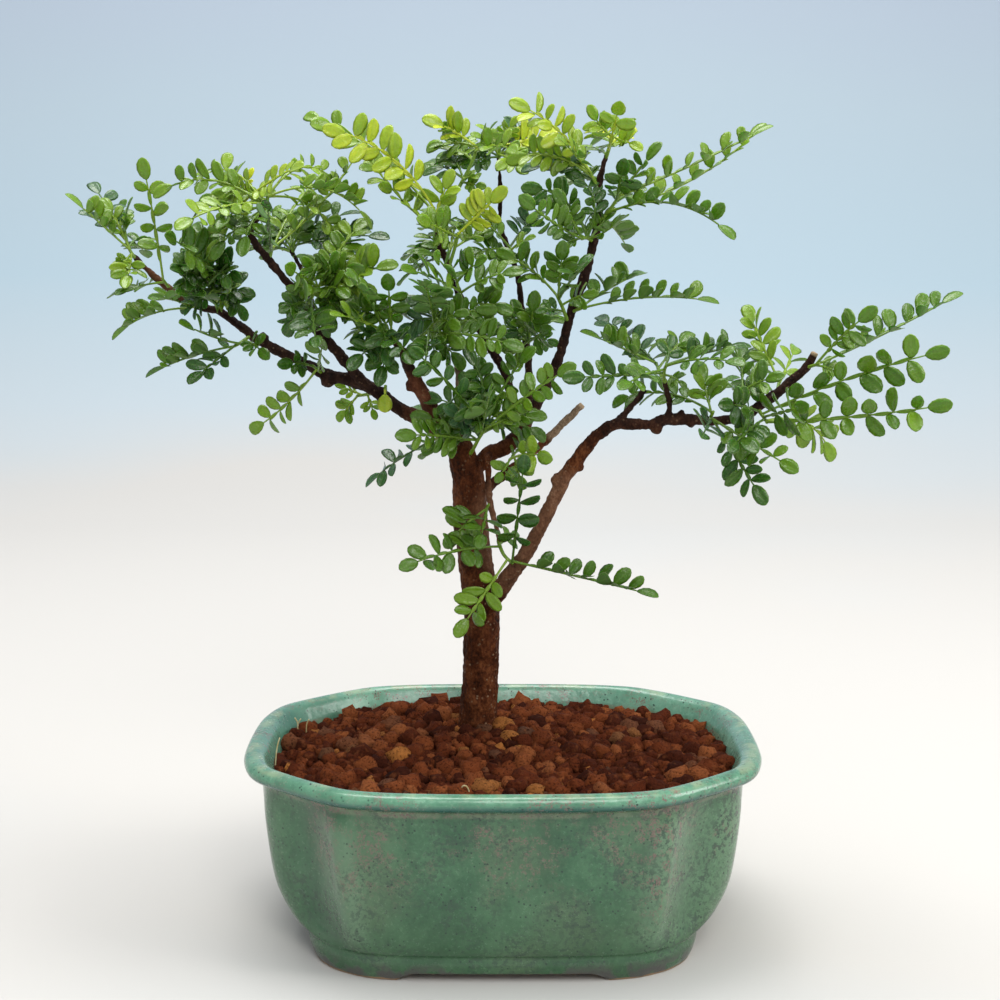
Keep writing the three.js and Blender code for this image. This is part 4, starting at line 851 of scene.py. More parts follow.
# Each shoot has the points of its twig (across, up and away) and a row for each frond: the point of
# the twig that it leaves from (0 is the first, and 1.5 is halfway from the second to the third),
# across, up and away of its tip, its pairs of leaflets, how many degrees its upper face turns to the
# viewer, how far its rib bows upwards, and its age and sheen: 0 is painted with a bluish sheen, a
# painted reflection, 1 is dark and old, 2 grown, 3 fresh, 4 lime and 5 yellow.
SHOOTS = {
    "left_end": ([(-133.6, 243.5, 12.5), (-135.6, 246.6, 13), (-136.8, 250, 14)], [
        (1, -158, 267, 8, 4, 60, 0, 3), (2, -149, 271, 34, 3, 40, 1, 0), (1, -138, 233, -2, 3, 85, -1, 3),
        (2, -134, 266, 42, 4, 35, 2, 2), (1.5, -129, 244, 40, 3, 30, 2, 2)]),
    "left_upright": ([(-121.5, 232.6, 11.5), (-124.2, 236.4, 8)], [
        (1, -130, 279.5, 6, 4, 90, 1, 3), (0.6, -144.8, 229.5, -2, 4, 20, 1, 2)]),
    "left_low": ([(-112, 226.6, 11), (-116, 225.4, 7)], [
        (1, -144, 214, 2, 5, 35, 3, 2), (0.5, -128, 229, -26, 3, 30, 1, 2)]),
    "left_under": ([(-92, 215.8, 10), (-97, 212.6, 5), (-99, 211.6, 3)], [
        (1, -118.5, 220.5, -8, 3, 55, -1, 2), (2, -132, 200.5, 2, 5, 85, 1.5, 2),
        (1.6, -116, 198, -10, 3, 35, 0, 1), (0.6, -86, 207, -14, 3, 75, 1, 2)]),
    "left_dark": ([(-104, 224.6, 10), (-106, 231, 1), (-105, 239, -5)], [
        (0.6, -119, 231, -12, 3, 70, 1, 1), (1.4, -121, 240, -14, 4, 60, 1, 1),
        (2, -122.5, 252, -10, 4, 70, 1, 2), (2, -95, 235, -24, 3, 75, 3, 1),
        (1, -90, 230, -18, 3, 60, 2, 1), (0.5, -98, 228.5, -22, 3, 70, 1, 3),
        (1.5, -113, 246, -34, 3, 45, 2, 2)]),
    "left_crown": ([(-87.4, 259.6, -11.8), (-85.4, 263, -12.5), (-85, 266, -14)], [
        (1, -119, 254, -24, 5, 55, 3, 3), (2, -46, 252.5, -6, 6, 50, 9, 3),
        (1, -128, 265, -2, 5, 55, 8, 3), (1, -106, 243, -46, 4, 50, 2, 2)]),
    "left_top": ([(-91.4, 253.4, -10), (-93.4, 260, -6), (-93.6, 267, -4)], [
        (2, -90, 276, -4, 2, 60, 0, 5), (2, -100.5, 275, 0, 2, 70, 0, 3),
        (1.7, -72, 277, -8, 5, 55, 1, 4), (1.2, -112, 263, -24, 4, 25, 0, 3),
        (1.4, -82, 268, -28, 3, 80, 0, 3), (1, -104, 268, 26, 4, 40, 3, 3)]),
    "left_long": ([(-85, 243, -9), (-83.6, 248, -10)], [
        (1, -50.5, 284, -14, 6, 60, -3, 3), (1, -85, 264, -26, 2, 80, 0, 1),
        (0.8, -64, 273, 8, 5, 35, 4, 3)]),
    "thin_left_tip": ([(-76, 244.6, 13), (-77.4, 249, 15)], [
        (0.7, -41, 251, 4, 5, 40, 2, 1), (1, -88, 262, 34, 4, 40, 2, 2), (1, -66, 262, 36, 4, 35, 2, 2),
        (0.5, -95, 246, 38, 4, 30, 2, 2)]),
    "mid_left": ([(-72.4, 224.8, -4), (-68.6, 231.6, -12), (-66, 235, -16)], [
        (1.6, -38, 241.5, -20, 5, 55, 1, 3), (1, -45, 229, -28, 4, 70, 2, 2),
        (2, -60, 246, -24, 3, 60, 0, 2), (1, -52, 222.5, -34, 4, 55, 2, 2),
        (1.4, -79, 241, -32, 3, 80, 0, 2), (0.6, -68.5, 211.5, -18, 3, 85, 0, 1),
        (0.5, -82, 224, -26, 3, 70, 1, 1)]),
    "left_round": ([(-66, 201.4, 8), (-70, 204.6, 1)], [
        (1, -83, 205, -10, 3, 85, 1, 1), (0.6, -94, 180, 20, 4, 80, -2, 3),
        (1, -66, 214, -12, 2, 80, 0, 2)]),
    "hang_pale": ([(-46, 194.8, 6), (-50, 194, 14), (-54, 193.4, 16)], [
        (2, -61.5, 184, 20, 3, 70, 0, 3), (1, -47, 184.5, 20, 2, 70, 0, 3),
        (1.5, -62, 198, 30, 2, 60, 0, 3)]),
    "yellow_leaflet": ([(-43.4, 192, 5.5), (-43.2, 197, -2), (-43.5, 195.6, -4)], [
        (2, -43.6, 187.2, -5, 0, 90, 0, 4.5)]),
    "front_left": ([(-40, 213.8, -15), (-43.6, 217, -18), (-45, 221, -20)], [
        (1, -63, 223.5, -26, 4, 35, 1, 3), (0.6, -57, 203, -30, 4, 70, 1, 1),
        (1, -46, 197, -34, 3, 85, 0, 1), (2, -57, 238, -40, 4, 50, 1, 2),
        (1.4, -33, 205.5, -44, 3, 75, 1, 1), (2, -42, 238, -34, 3, 60, 1, 2)]),
    "front_right": ([(-30.4, 214.8, -16.4), (-27, 218, -19), (-24, 222, -21)], [
        (0.5, 8, 210.5, -26, 6, 65, 2, 2), (2, -44, 223, -24, 4, 45, 2, 0),
        (1, -29, 201, -36, 3, 85, 0, 1), (2, -29, 236, -60, 4, 40, 1, 2),
        (1.5, -12, 224, -44, 4, 60, 1, 2), (1.2, -14, 203, -38, 4, 70, 1, 2)]),
    "low_front": ([(-12, 172, -5.5), (-8.6, 178, -13), (-6, 181.6, -17)], [
        (0.8, -40, 178.5, -24, 6, 75, 1, 2), (2, 27, 205, -32, 6, 70, 1, 2),
        (1.8, -34, 211, -28, 4, 88, 2, 1), (2, -8.5, 208, -22, 4, 90, 0, 1),
        (1.4, 17, 176, -26, 3, 60, 5, 2), (2, -4, 196, -44, 3, 60, 1, 2), (1, -22, 190, -36, 3, 70, 1, 0)]),
    "low_right": ([(3, 175.4, 3.5), (4, 171.5, -6), (2.5, 169.4, -14)], [
        (2, 18.5, 169.5, -22, 3, 80, 2, 3), (2, -2.5, 161, -22, 2, 88, 0, 2),
        (1.4, 11, 179, -20, 2, 70, 0, 2), (1, 8, 158, -6, 2, 85, 0, 2)]),
    "left_teal": ([(-17, 176.5, 1), (-21, 178, 8), (-26, 177, 13)], [
        (2, -51.5, 159.5, 18, 4, 30, 1, 0), (1.5, -33, 190, 34, 3, 40, 1, 2),
        (1.2, -30, 170, 40, 3, 30, 1, 2)]),
    "low_left": ([(-4.6, 153.6, -9), (-6.4, 150.5, -12)], [
        (1, -22, 136, -14, 3, 80, 1, 2), (1, -9, 136, -22, 2, 80, 0, 2)]),
    "low_end": ([(-1.6, 138.6, -10), (0.4, 133.5, -13), (4, 130, -15)], [
        (0.4, -39, 128, -20, 5, 60, 2, 2), (2, 8.2, 171.5, -17, 4, 90, 0, 1),
        (2, 59, 117.5, -20, 7, 55, 0, 2), (1.6, -18, 101.5, -26, 4, 75, 0, 3),
        (0.3, 6, 142, -30, 1, 70, 0, 2)]),
    "centre_fan": ([(-14.4, 226.4, -8.5), (-15.8, 231.6, -16), (-17, 236, -18)], [
        (1, -37, 240, -24, 4, 50, 1, 2), (0.6, -38, 227, -26, 3, 60, 1, 1), (1, 8, 239, -22, 4, 45, 2, 2),
        (2, -25, 245, -30, 2, 75, 0, 2), (0.5, -31, 216.5, -34, 4, 60, 1, 2),
        (2, -6, 243.5, -34, 3, 60, 1, 2), (0.3, -24, 219, -26, 2, 75, 0, 1),
        (0.5, 4, 224, -34, 3, 70, 1, 2)]),
    "centre_left_back": ([(-19, 239, -10.6), (-20, 243, 0), (-19, 247, 8)], [
        (1, -36, 246, 14, 3, 30, 1, 2), (2, -28, 262, 30, 4, 40, 2, 3), (2, -10, 258, 32, 4, 35, 2, 3),
        (1.5, -38, 234, 34, 4, 35, 2, 2)]),
    "upper_star": ([(-19.6, 240.4, -11), (-17.4, 247.5, -14), (-16, 253, -16)], [
        (2, 1.5, 269, -26, 5, 80, 0, 4), (1, -5.5, 254.5, -18, 3, 40, 0, 3),
        (2, -31, 258, -40, 4, 75, 0, 3)]),
    "left_arch": ([(-23.9, 252, -12), (-24.6, 256.5, -13), (-25, 262, -14)], [
        (0.3, -52, 285, -12, 5, 40, -2, 3), (2, -65.5, 290, -18, 6, 85, 6, 4),
        (1.6, -71.5, 294.5, 4, 4, 70, 5, 3), (2, -18, 275.5, -20, 2, 75, 0, 4)]),
    "top_left": ([(-23.6, 257, -12), (-17, 267, -8), (-11.5, 277, -7), (-9, 284, -7)], [
        (3, -29, 293.5, -8, 4, 70, 1, 4), (3, -2, 292.5, -9, 2, 20, 0, 2),
        (2.8, 5, 281.5, -14, 3, 70, 2, 3), (1.5, -28, 278, 10, 3, 50, 1, 2),
        (1.6, -6, 269, -20, 3, 80, 0, 3), (2.2, -20, 283, 28, 4, 40, 1, 3)]),
    "centre_top": ([(-1.5, 279, 24), (-1.2, 282, 23.6), (-1, 285.5, 23)], [
        (2, 5.5, 294, 20, 3, 70, 0, 4), (1.5, 20, 289.5, 16, 4, 60, -1, 5),
        (2, 9.5, 294.5, 40, 3, 40, 0, 0), (0.5, 9, 274, 10, 3, 80, 1, 3),
        (0.8, -15, 276, 14, 3, 70, 1, 1), (1.2, -12, 288, 40, 4, 40, 2, 3),
        (0.8, 12, 280, 42, 4, 35, 2, 2)]),
    "centre_mid": ([(2, 246.5, 23), (2.6, 247.4, 12), (3, 246, 6)], [
        (1.6, -15, 245, 2, 4, 40, 1, 2), (2, 12, 251.5, 0, 3, 45, 1, 3), (2, -4, 243, -8, 2, 70, 0, 1),
        (2, 9, 240, -10, 2, 80, 0, 1), (1, 15, 261, 26, 4, 20, 1, 0), (1.5, -14, 262, 12, 4, 45, 1, 2)]),
    "centre_low": ([(8.6, 217.6, 18), (9.4, 214.5, 8), (9.6, 213, 2)], [
        (2, 17.5, 219, -6, 2, 88, 0, 2), (2, 1.5, 222, -6, 3, 80, 0, 1), (1, 21, 212, 6, 3, 70, 1, 1),
        (1.4, 2, 203, -4, 3, 70, 1, 2), (2, 12, 232, -8, 3, 80, 0, 2), (1, -10, 208, 20, 4, 45, 1, 2),
        (0.8, 22, 224, 36, 4, 40, 2, 2)]),
    "right_cross": ([(24, 220.4, -5), (21.6, 226.5, -10), (19.6, 230.6, -14)], [
        (2, -2.5, 246.5, -24, 5, 80, 2, 2), (1, 35, 231, -18, 3, 60, 1, 2),
        (2, 22, 250, -26, 4, 80, 0, 2), (0.6, 12, 224, -20, 2, 40, 1, 1),
        (1.5, 31, 243, -28, 2, 60, 1, 1)]),
    "right_pair": ([(25.4, 224.4, -5.5), (28.6, 225.4, -8)], [
        (1, 79.5, 227.6, -12, 6, 60, 3, 2), (0.8, 52, 239, 26, 4, 45, 1, 2)]),
    "right_fans": ([(32.8, 249.5, -8), (30.6, 251, -12), (28.6, 250.6, -15)], [
        (1, 5.5, 269, -22, 5, 85, 6, 1), (2, 6, 266, -34, 5, 88, -1, 2), (1.4, 19, 246, -18, 3, 45, 1, 2),
        (0.6, 45.5, 259.5, -14, 3, 25, -1, 2), (0.5, 27, 260, 2, 2, 80, 0, 2)]),
    "top_right": ([(34.8, 267.6, -9), (33, 271.4, -11), (31.4, 274.4, -12)], [
        (1.4, 1.8, 299.5, -14, 6, 75, 4, 4), (1, 6, 275, 4, 5, 50, 3, 0), (2, 20, 287, 0, 3, 50, 0, 3),
        (1, 24, 270, 30, 4, 40, 2, 2)]),
    "top_young": ([(37.2, 279.6, -10), (38.6, 284, -11), (39.6, 287, -11)], [
        (2, 30.5, 298, -12, 3, 85, -1, 3), (1.6, 32, 291, -16, 2, 60, 0, 5),
        (2, 48, 290, -12, 2, 80, 0, 5), (1, 50.5, 282, -16, 3, 60, 2, 4), (2, 42, 299, -8, 2, 80, 0, 4),
        (1, 44, 292, 22, 3, 50, 1, 3), (0.6, 28, 283, 18, 3, 45, 1, 3)]),
    "right_sweep": ([(35, 257, -8.5), (38.4, 260.6, -10), (42.6, 266.6, -12)], [
        (2, 97, 291, -14, 6, 65, -1, 3), (1, 94.5, 292, 2, 7, 75, -5, 3),
        (0.6, 85, 250, -18, 7, 20, 8, 2), (2, 44, 279, -22, 3, 70, 0, 1), (2, 57, 285, -6, 3, 50, 0, 2),
        (1, 50, 268, 30, 4, 40, 2, 2), (0.4, 46, 246, 32, 4, 35, 1, 2)]),
    "right_back": ([(59.8, 198.6, -30), (57.6, 202.6, -22), (56.6, 205.6, -14)], [
        (2, 28.5, 217.5, -18, 5, 30, 0, 2), (2, 34.5, 223, 14, 5, 50, 1, 0),
        (1.4, 47, 213, 16, 4, 40, 1, 2), (1.5, 70, 217, 8, 3, 40, 1, 2)]),
    "right_spread": ([(59.4, 199.4, -30), (59.6, 203, -36), (60.4, 205, -39)], [
        (0.7, 22, 200, -44, 5, 80, 0, 1), (2, 91.5, 212, -36, 6, 60, 1, 1),
        (1.6, 89, 205, -52, 4, 40, 2, 2), (2, 62.5, 216, -42, 1, 85, 0, 1),
        (1, 43, 196, -58, 4, 45, 1, 2), (1.5, 68, 196, -60, 3, 60, 1, 2)]),
    "right_mid": ([(76.6, 184.8, -31), (78, 187.6, -35)], [
        (0.8, 39.5, 189.5, -40, 6, 60, 6, 2), (1, 72, 206.5, -46, 4, 60, 0, 2),
        (1, 98.5, 152.5, -46, 5, 88, 0, 1), (1, 110, 165, -56, 4, 80, 0, 2),
        (0.6, 74, 178, -48, 2, 80, 0, 1)]),
    "right_upper": ([(86.2, 190.6, -32), (88, 194.6, -30), (88.6, 197, -28)], [
        (1, 104, 201, -40, 3, 55, 1, 2), (2, 87.5, 213, -38, 3, 60, 0, 2), (2, 97, 208, -14, 3, 45, 1, 2),
        (1, 78, 199, -4, 4, 40, 2, 2), (1.4, 100, 196, 0, 4, 35, 2, 2)]),
    "right_pale": ([(101.4, 194.8, -33), (102, 199, -30)], [
        (1, 88.5, 227, -22, 5, 85, 0, 3), (1, 108, 212, -26, 2, 80, 0, 3)]),
    "right_end": ([(111.4, 203.6, -33), (116.8, 205.4, -38.5)], [
        (1, 168, 231.6, -30, 7, 55, -1, 2), (0.8, 137, 226, -46, 5, 80, 1, 2),
        (0.6, 126, 200, -46, 4, 40, 1, 2)]),
    "right_lower": ([(94, 188.8, -33), (96.6, 185.6, -37), (98, 183.4, -40)], [
        (0.7, 164.5, 210.5, -42, 6, 90, 2, 2), (2, 166.5, 190.5, -48, 6, 90, -1, 2),
        (2, 123.5, 167.5, -58, 4, 85, 7, 3), (1, 113, 190, -50, 3, 85, 0, 2),
        (1.6, 84, 173, -60, 3, 80, 1, 1), (1.4, 80, 190, -66, 3, 75, 1, 1)]),
}
# Rows of fronds whose leaflets are folded up along the rib, like a half-open book.
FOLDED = {
    "right_sweep": (0, 1, 2, 6), "right_end": (0,), "left_end": (0,), "right_pair": (0, 1),
    "left_low": (0,), "left_under": (1,), "left_crown": (1,), "left_long": (0,), "right_spread": (1,),
    "right_back": (0,), "low_end": (2,),
}
# How many smaller fronds grow behind each laid one, in the thick of the crown.
BEHIND = {
    "left_end": 1, "left_dark": 3, "left_crown": 2, "thin_left_tip": 2, "mid_left": 3, "front_left": 1,
    "front_right": 1, "low_front": 2, "centre_left_back": 1, "top_left": 1, "centre_top": 1,
    "centre_low": 1, "right_fans": 1, "top_right": 1,
}
# How large the leaflets of some shoots are. The rest are 1.
BROAD = {
    "left_end": 0.9, "left_top": 0.75, "left_crown": 0.9, "left_long": 0.85, "left_dark": 1.2,
    "mid_left": 1.15, "left_round": 0.85, "low_front": 0.92, "low_end": 1.08, "low_left": 1.15,
    "low_right": 1.1, "right_lower": 1.14, "left_arch": 1.15, "yellow_leaflet": 1.25, "right_sweep": 0.9,
    "right_fans": 0.9, "right_spread": 0.92,
}
# A frond's blade is laid by spots on it, at one pitch. They keep a clearance from all spots laid
# before, less some leeway at limbs and twigs. Its tip may slide to and fro by the slides, between
# the nearest and the furthest place in the crown.
SPOT_PITCH = 3.6
SPOT_CLEARANCE = 3.4
LIMB_LEEWAY = 1.5
TWIG_LEEWAY = 1.2
SLIDES = [0, -5, 5, -10, 10, -15, 15, -20, 20, -25, 25, -30, 30]
NEAREST_AWAY = -82
FURTHEST_AWAY = 45


def unit(vector):
    return vector / np.linalg.norm(vector)


def on_twig(twig, station):
    """The point of a twig at a station, on the straight line between two of its points."""
    whole = min(math.floor(station), len(twig) - 2)
    lower, upper = np.array(twig[whole], float), np.array(twig[whole + 1], float)
    return lower + (upper - lower) * (station - whole)


class Blade:
    """Where a frond lies: its root on the twig, its tip, and the three directions of its blade."""

    def __init__(self, twig, station, row, slide):
        _, across, up, away, self.pairs, self.face, self.bow, self.age_and_sheen = row
        self.station = station
        self.root = place(*on_twig(twig, station))
        tip = place(across, up, away + slide)
        self.length = np.linalg.norm(tip - self.root)
        self.along = (tip - self.root) / self.length
        self.lift = unit(np.array([0, 0, 1.0]) - self.along * self.along[2])
        front = np.array([0, -1.0, 0]) + self.along * self.along[1]
        turn = math.radians(self.face)
        self.normal = unit(self.lift * math.cos(turn) + front * math.sin(turn))
        self.left = np.cross(self.normal, self.along)
        self.leaflet = min(LEAFLET, self.length * (0.42 if self.pairs else 0.9))
        self.stalk = min(LONGEST_STALK, self.length * (0.24 if self.pairs else 0.2))

    def at(self, forward, sideways=0.0, high=0.0):
        part = forward / self.length
        return (self.root + self.along * forward + self.lift * (self.bow * 4 * part * (1 - part))
                + self.left * sideways + self.normal * high)


def roots_along(twig, fronds):
    """The fronds of a twig leave it one below the other, the first where its row says."""
    length = np.linalg.norm(place(*twig[0]) - place(*twig[-1]))
    spacing = ROOT_SPACING * (len(twig) - 1) / length
    roots = []
    for row in fronds:
        station = min(row[0], len(twig) - 1.12)
        while any(abs(other - station) < spacing for other in roots):
            station -= spacing / 4
        roots.append(max(station, 0.2))
    return roots


def spots_over(blade):
    """Spots all over a blade, five in each row across it."""
    start = blade.stalk if blade.pairs else 0.5 * blade.length
    rows = max(1, math.floor((blade.length - start) / SPOT_PITCH + 0.5))
    spots = []
    for step in range(rows + 1):
        forward = start + (blade.length - start) * step / rows
        reach = min(0.9 * blade.leaflet, blade.length - forward + 0.4 * blade.leaflet)
        for sideways in (-1, -0.5, 0, 0.5, 1):
            spots.append(blade.at(forward + 0.2 * abs(sideways) * reach, sideways * reach))
    return np.array(spots)


def spots_along(stations, grow_by):
    """Spots along a limb or a twig, with its radius at each of them, made larger by a value."""
    spots, sizes = [], []
    for lower, upper in zip(stations, stations[1:]):
        start, end = place(*lower[:3]), place(*upper[:3])
        radius = lower[3] if len(lower) > 3 else TWIG_RADIUS
        steps = math.ceil(np.linalg.norm(end - start) / SPOT_PITCH)
        spots += [start + (end - start) * step / steps for step in range(steps + 1)]
        sizes += [radius + grow_by] * (steps + 1)
    return spots, sizes


def clash_count(spots, others, sizes):
    """How many spots lie too near to other ones."""
    if not len(others):
        return 0
    gaps = np.linalg.norm(spots[:, None, :] - others[None, :, :], axis=2)
    return int((gaps < SPOT_CLEARANCE + sizes[None, :]).any(axis=1).sum())


def lay_all():
    """Fronds are bent clear of each other. A tip slides towards or away from the viewer until its
    blade clears the fronds laid before it and all the wood."""
    taken, sizes = [], []
    for stations in LIMBS.values():
        spots, radii = spots_along(stations, -LIMB_LEEWAY)
        taken += spots
        sizes += radii
    stems = {name: spots_along(twig, -TWIG_LEEWAY) for name, (twig, _) in SHOOTS.items()}
    laid = {}
    for name, (twig, fronds) in SHOOTS.items():
        others = [pair for other, pair in stems.items() if other != name]
        stem_spots = np.array([spot for pair in others for spot in pair[0]])
        stem_sizes = np.array([size for pair in others for size in pair[1]])
        laid[name] = []
        for station, row in zip(roots_along(twig, fronds), fronds):
            best = None
            for slide in SLIDES:
                if not NEAREST_AWAY < row[3] + slide < FURTHEST_AWAY:
                    continue
                blade = Blade(twig, station, row, slide)
                spots = spots_over(blade)
                count = clash_count(spots, np.array(taken), np.array(sizes))
                count += clash_count(spots, stem_spots, stem_sizes)
                if best is None or count < best[0]:
                    best = (count, blade, spots)
                if count == 0:
                    break
            taken += list(best[2])
            sizes += [0.0] * len(best[2])
            laid[name].append(best[1])
    return laid


def chance(seed):
    """A number between 0 and 1 that looks random and is always the same for a seed."""
    wave = math.sin(seed * 12.9898 + 4.1414) * 43758.5453
    return wave - math.floor(wave)


def leaflet_shape():
    """One leaflet, one unit long and wide: an oval that is broadest past its middle, folded a little
    along its vein. It is a closed thin shell. Its underside, vein and margin are marked."""
    reaches = [0, 0.07, 0.24, 0.5, 0.76, 0.93, 1]
    widths = [0.04, 0.19, 0.38, 0.49, 0.45, 0.27, 0.06]
    columns = 5
    rows = len(reaches)
    points, upper = [], {}
    for row, (reach, width) in enumerate(zip(reaches, widths)):
        for column in range(columns):
            side = column / (columns - 1) * 2 - 1
            cup = 0.26 * abs(side) * width - 0.10 * side * side * width - 0.16 * (reach - 0.4) ** 2
            upper[row, column] = len(points)
            points.append((reach, side * width, cup))
    lower = dict(upper)
    for row in range(1, rows - 1):
        for column in range(1, columns - 1):
            lower[row, column] = len(points)
            x, y, z = points[upper[row, column]]
            points.append((x, y, z - 0.022))
    faces, undersides = [], []
    for row in range(rows - 1):
        for column in range(columns - 1):
            for layer, order in ((upper, 1), (lower, -1)):
                ring = [(row, column), (row + 1, column), (row + 1, column + 1), (row, column + 1)]
                corners = [layer[spot] for spot in ring[::order]]
                faces.append(corners)
                undersides.append(float(order < 0))
    rim = {spot for (row, column), spot in upper.items()
           if row in (0, rows - 1) or column in (0, columns - 1)}
    shape = mesh_object("leaflet_shape", points, faces)
    marks = {
        "below": ("FACE", undersides),
        "vein": ("POINT", [abs(y) for _, y, _ in points]),
        "margin": ("POINT", [float(point in rim) for point in range(len(points))]),
    }
    for name, (domain, values) in marks.items():
        shape.data.attributes.new(name, "FLOAT", domain).data.foreach_set("value", values)
    return shape


class Sprig:
    """What one shoot is grown from: seats for its leaflets and lines for its twig and ribs."""

    def __init__(self):
        self.points, self.edges = [], []
        self.traits = {"seat": [], "girth": [], "tone": [], "aim": [], "face": [], "size": []}

    def add(self, point, seat, girth, tone, aim=(1, 0, 0), face=(0, 0, 1), size=(1, 1, 1)):
        self.points.append(tuple(point * MM))
        for trait, value in zip(self.traits, (seat, girth, tone, aim, face, size)):
            self.traits[trait].append(value)

    def line(self, points, girths, tone):
        for index, (point, girth) in enumerate(zip(points, girths)):
            self.add(point, 0.0, girth * MM, tone)
            if index:
                self.edges.append((len(self.points) - 2, len(self.points) - 1))

    def leaf(self, point, aim, face, length, width, tone):
        self.add(point, 1.0, 0.0, tone, tuple(aim), tuple(face), (length * MM, width * MM, length * MM))

    def object(self, name):
        piece = mesh_object(name, self.points, [], self.edges)
        for trait, values in self.traits.items():
            kind = "FLOAT_VECTOR" if trait in ("aim", "face", "size") else "FLOAT"
            layer = piece.data.attributes.new(trait, kind, "POINT")
            field = "vector" if kind == "FLOAT_VECTOR" else "value"
            layer.data.foreach_set(field, np.array(values, float).ravel())
        return piece


# How leaflets sit on their rib, in degrees: how far they lean to its tip, how far those of a folded
# frond are folded up, and in how wide a range each leans, rises and rolls by chance.
LEAN = 25
FOLDED_UP = 52
LEAN_RANGE = 30
RISE_RANGE = 52
ROLL_RANGE = 90
# A leaflet's length beside the frond's own leaflets, with the range of chance on top, and its width
# beside its length, which grows with the pitch of the pairs.
LENGTH_LEAST = 0.78
LENGTH_RANGE = 0.34
WIDTH_LEAST = 0.54
WIDTH_MOST = 0.67
# A rib's radius at its foot and how much thinner it is at its end, and the width of its wings.
RIB_RADIUS = 0.5
RIB_TAPER = 0.22
WING_WIDTH = 1.5


def plant_frond(sprig, blade, seed, folded=False, size=1.0):
    """A rib with a pair of leaflets at each step, narrow wings between them and a leaflet at its end."""
    # A frond's tone follows its age; tone 0 is a painted bluish sheen, a painted reflection.
    tone = blade.age_and_sheen / 5 + (chance(seed) - 0.5) * 0.12
    normal = blade.normal
    fold = 4 + (32 if blade.face > 48 else 14) * chance(seed + 0.7)
    if folded:
        fold = FOLDED_UP
        normal = unit(blade.lift * 0.92 + np.array([0, -0.39, 0]))
    left = unit(np.cross(normal, blade.along))
    last = max(blade.length - blade.leaflet, blade.stalk + 0.1)
    pitch = (last - blade.stalk) / blade.pairs if blade.pairs else 0
    rib_end = blade.stalk + blade.pairs * pitch
    steps = max(3, 2 * blade.pairs + 2)
    shares = [step / steps for step in range(steps + 1)]
    ribs = [blade.at(share * rib_end, 0, 0.2) for share in shares]
    sprig.line(ribs, [RIB_RADIUS - RIB_TAPER * share for share in shares], min(tone + 0.12, 1))
    for pair in range(blade.pairs):
        middle = blade.stalk + (pair + 0.5) * pitch
        wide = 1 - 0.16 * abs(2 * pair - blade.pairs + 1) / blade.pairs
        for hand in (1, -1):
            luck = [chance(seed + 0.37 * pair + 0.11 * hand + part) for part in (1, 2, 3, 4, 5)]
            lean = math.radians(LEAN + LEAN_RANGE * (luck[0] - 0.5))
            rise = math.radians(fold + RISE_RANGE * (luck[1] - 0.5))
            outward = left * (hand * math.cos(rise)) + normal * math.sin(rise)
            aim = blade.along * math.sin(lean) + outward * math.cos(lean)
            over = normal * math.cos(rise) - left * (hand * math.sin(rise))
            roll = math.radians(ROLL_RANGE * (luck[2] - 0.5))
            face = over * math.cos(roll) + blade.along * math.sin(roll)
            length = blade.leaflet * size * wide * (LENGTH_LEAST + LENGTH_RANGE * luck[3])
            width = min(max(WIDTH_LEAST * length, 0.95 * pitch), WIDTH_MOST * length)
            start = blade.at(middle - 0.10 * pitch + 0.07 * pitch * hand, hand * 0.25, 0.2)
            sprig.leaf(start, aim, face, length, width, tone + (luck[4] - 0.5) * 0.18)
    for pair in range(blade.pairs):
        wing = blade.at(blade.stalk + (pair - 0.4) * pitch, 0, 0.25)
        sprig.leaf(wing, blade.along, normal, pitch * 0.92, WING_WIDTH, tone + 0.05)
    length = min(blade.length - rib_end, blade.leaflet * 1.05)
    end = blade.at(rib_end if blade.pairs else blade.length - length, 0, 0.2)
    droop = unit(blade.at(blade.length) - end)
    sprig.leaf(end, droop, normal, length, (0.64 if blade.pairs else 0.86) * length, tone)


# The smaller fronds behind a laid one: how long each is beside it, and how many degrees at the least
# it is turned from it.
SMALLER = [(0.7, 17), (0.55, 9), (0.82, 26)]
SMALLER_LEAFLETS = 0.9


def companions(twig, blade, row, middle, seed):
    """Smaller fronds behind another one. The first leans in towards the middle of the shoot."""
    root = on_twig(twig, blade.station)[:2]
    fronds = []
    for order, (share, least) in enumerate(SMALLER):
        luck = [chance(seed + order * 0.9 + part) for part in (0, 0.2, 0.4, 0.8)]
        reach = (np.array(row[1:3], float) - root) * (share + 0.2 * luck[0])
        tips = []
        for turn in (-1, 1):
            angle = math.radians(turn * (least + 17 * luck[2]))
            tips.append(root + (reach[0] * math.cos(angle) - reach[1] * math.sin(angle),
                                reach[0] * math.sin(angle) + reach[1] * math.cos(angle)))
        tips.sort(key=lambda spot: np.linalg.norm(spot - middle), reverse=order > 0)
        away = min(row[3] + 5 + 7 * order + 8 * luck[3], FURTHEST_AWAY)
        pairs = max(2, round(blade.pairs * (share + 0.15)))
        face = row[5] - 35 + 70 * luck[1]
        small = (0, *tips[0], away, pairs, face, row[6] + 1, min(row[7], 3))
        fronds.append(Blade(twig, blade.station, small, 0))
    return fronds


def trait(name, kind="FLOAT"):
    """One of the traits that a sprig's points carry."""
    return node(shoot_tree, "GeometryNodeInputNamedAttribute", {"data_type": kind}, {"Name": name})


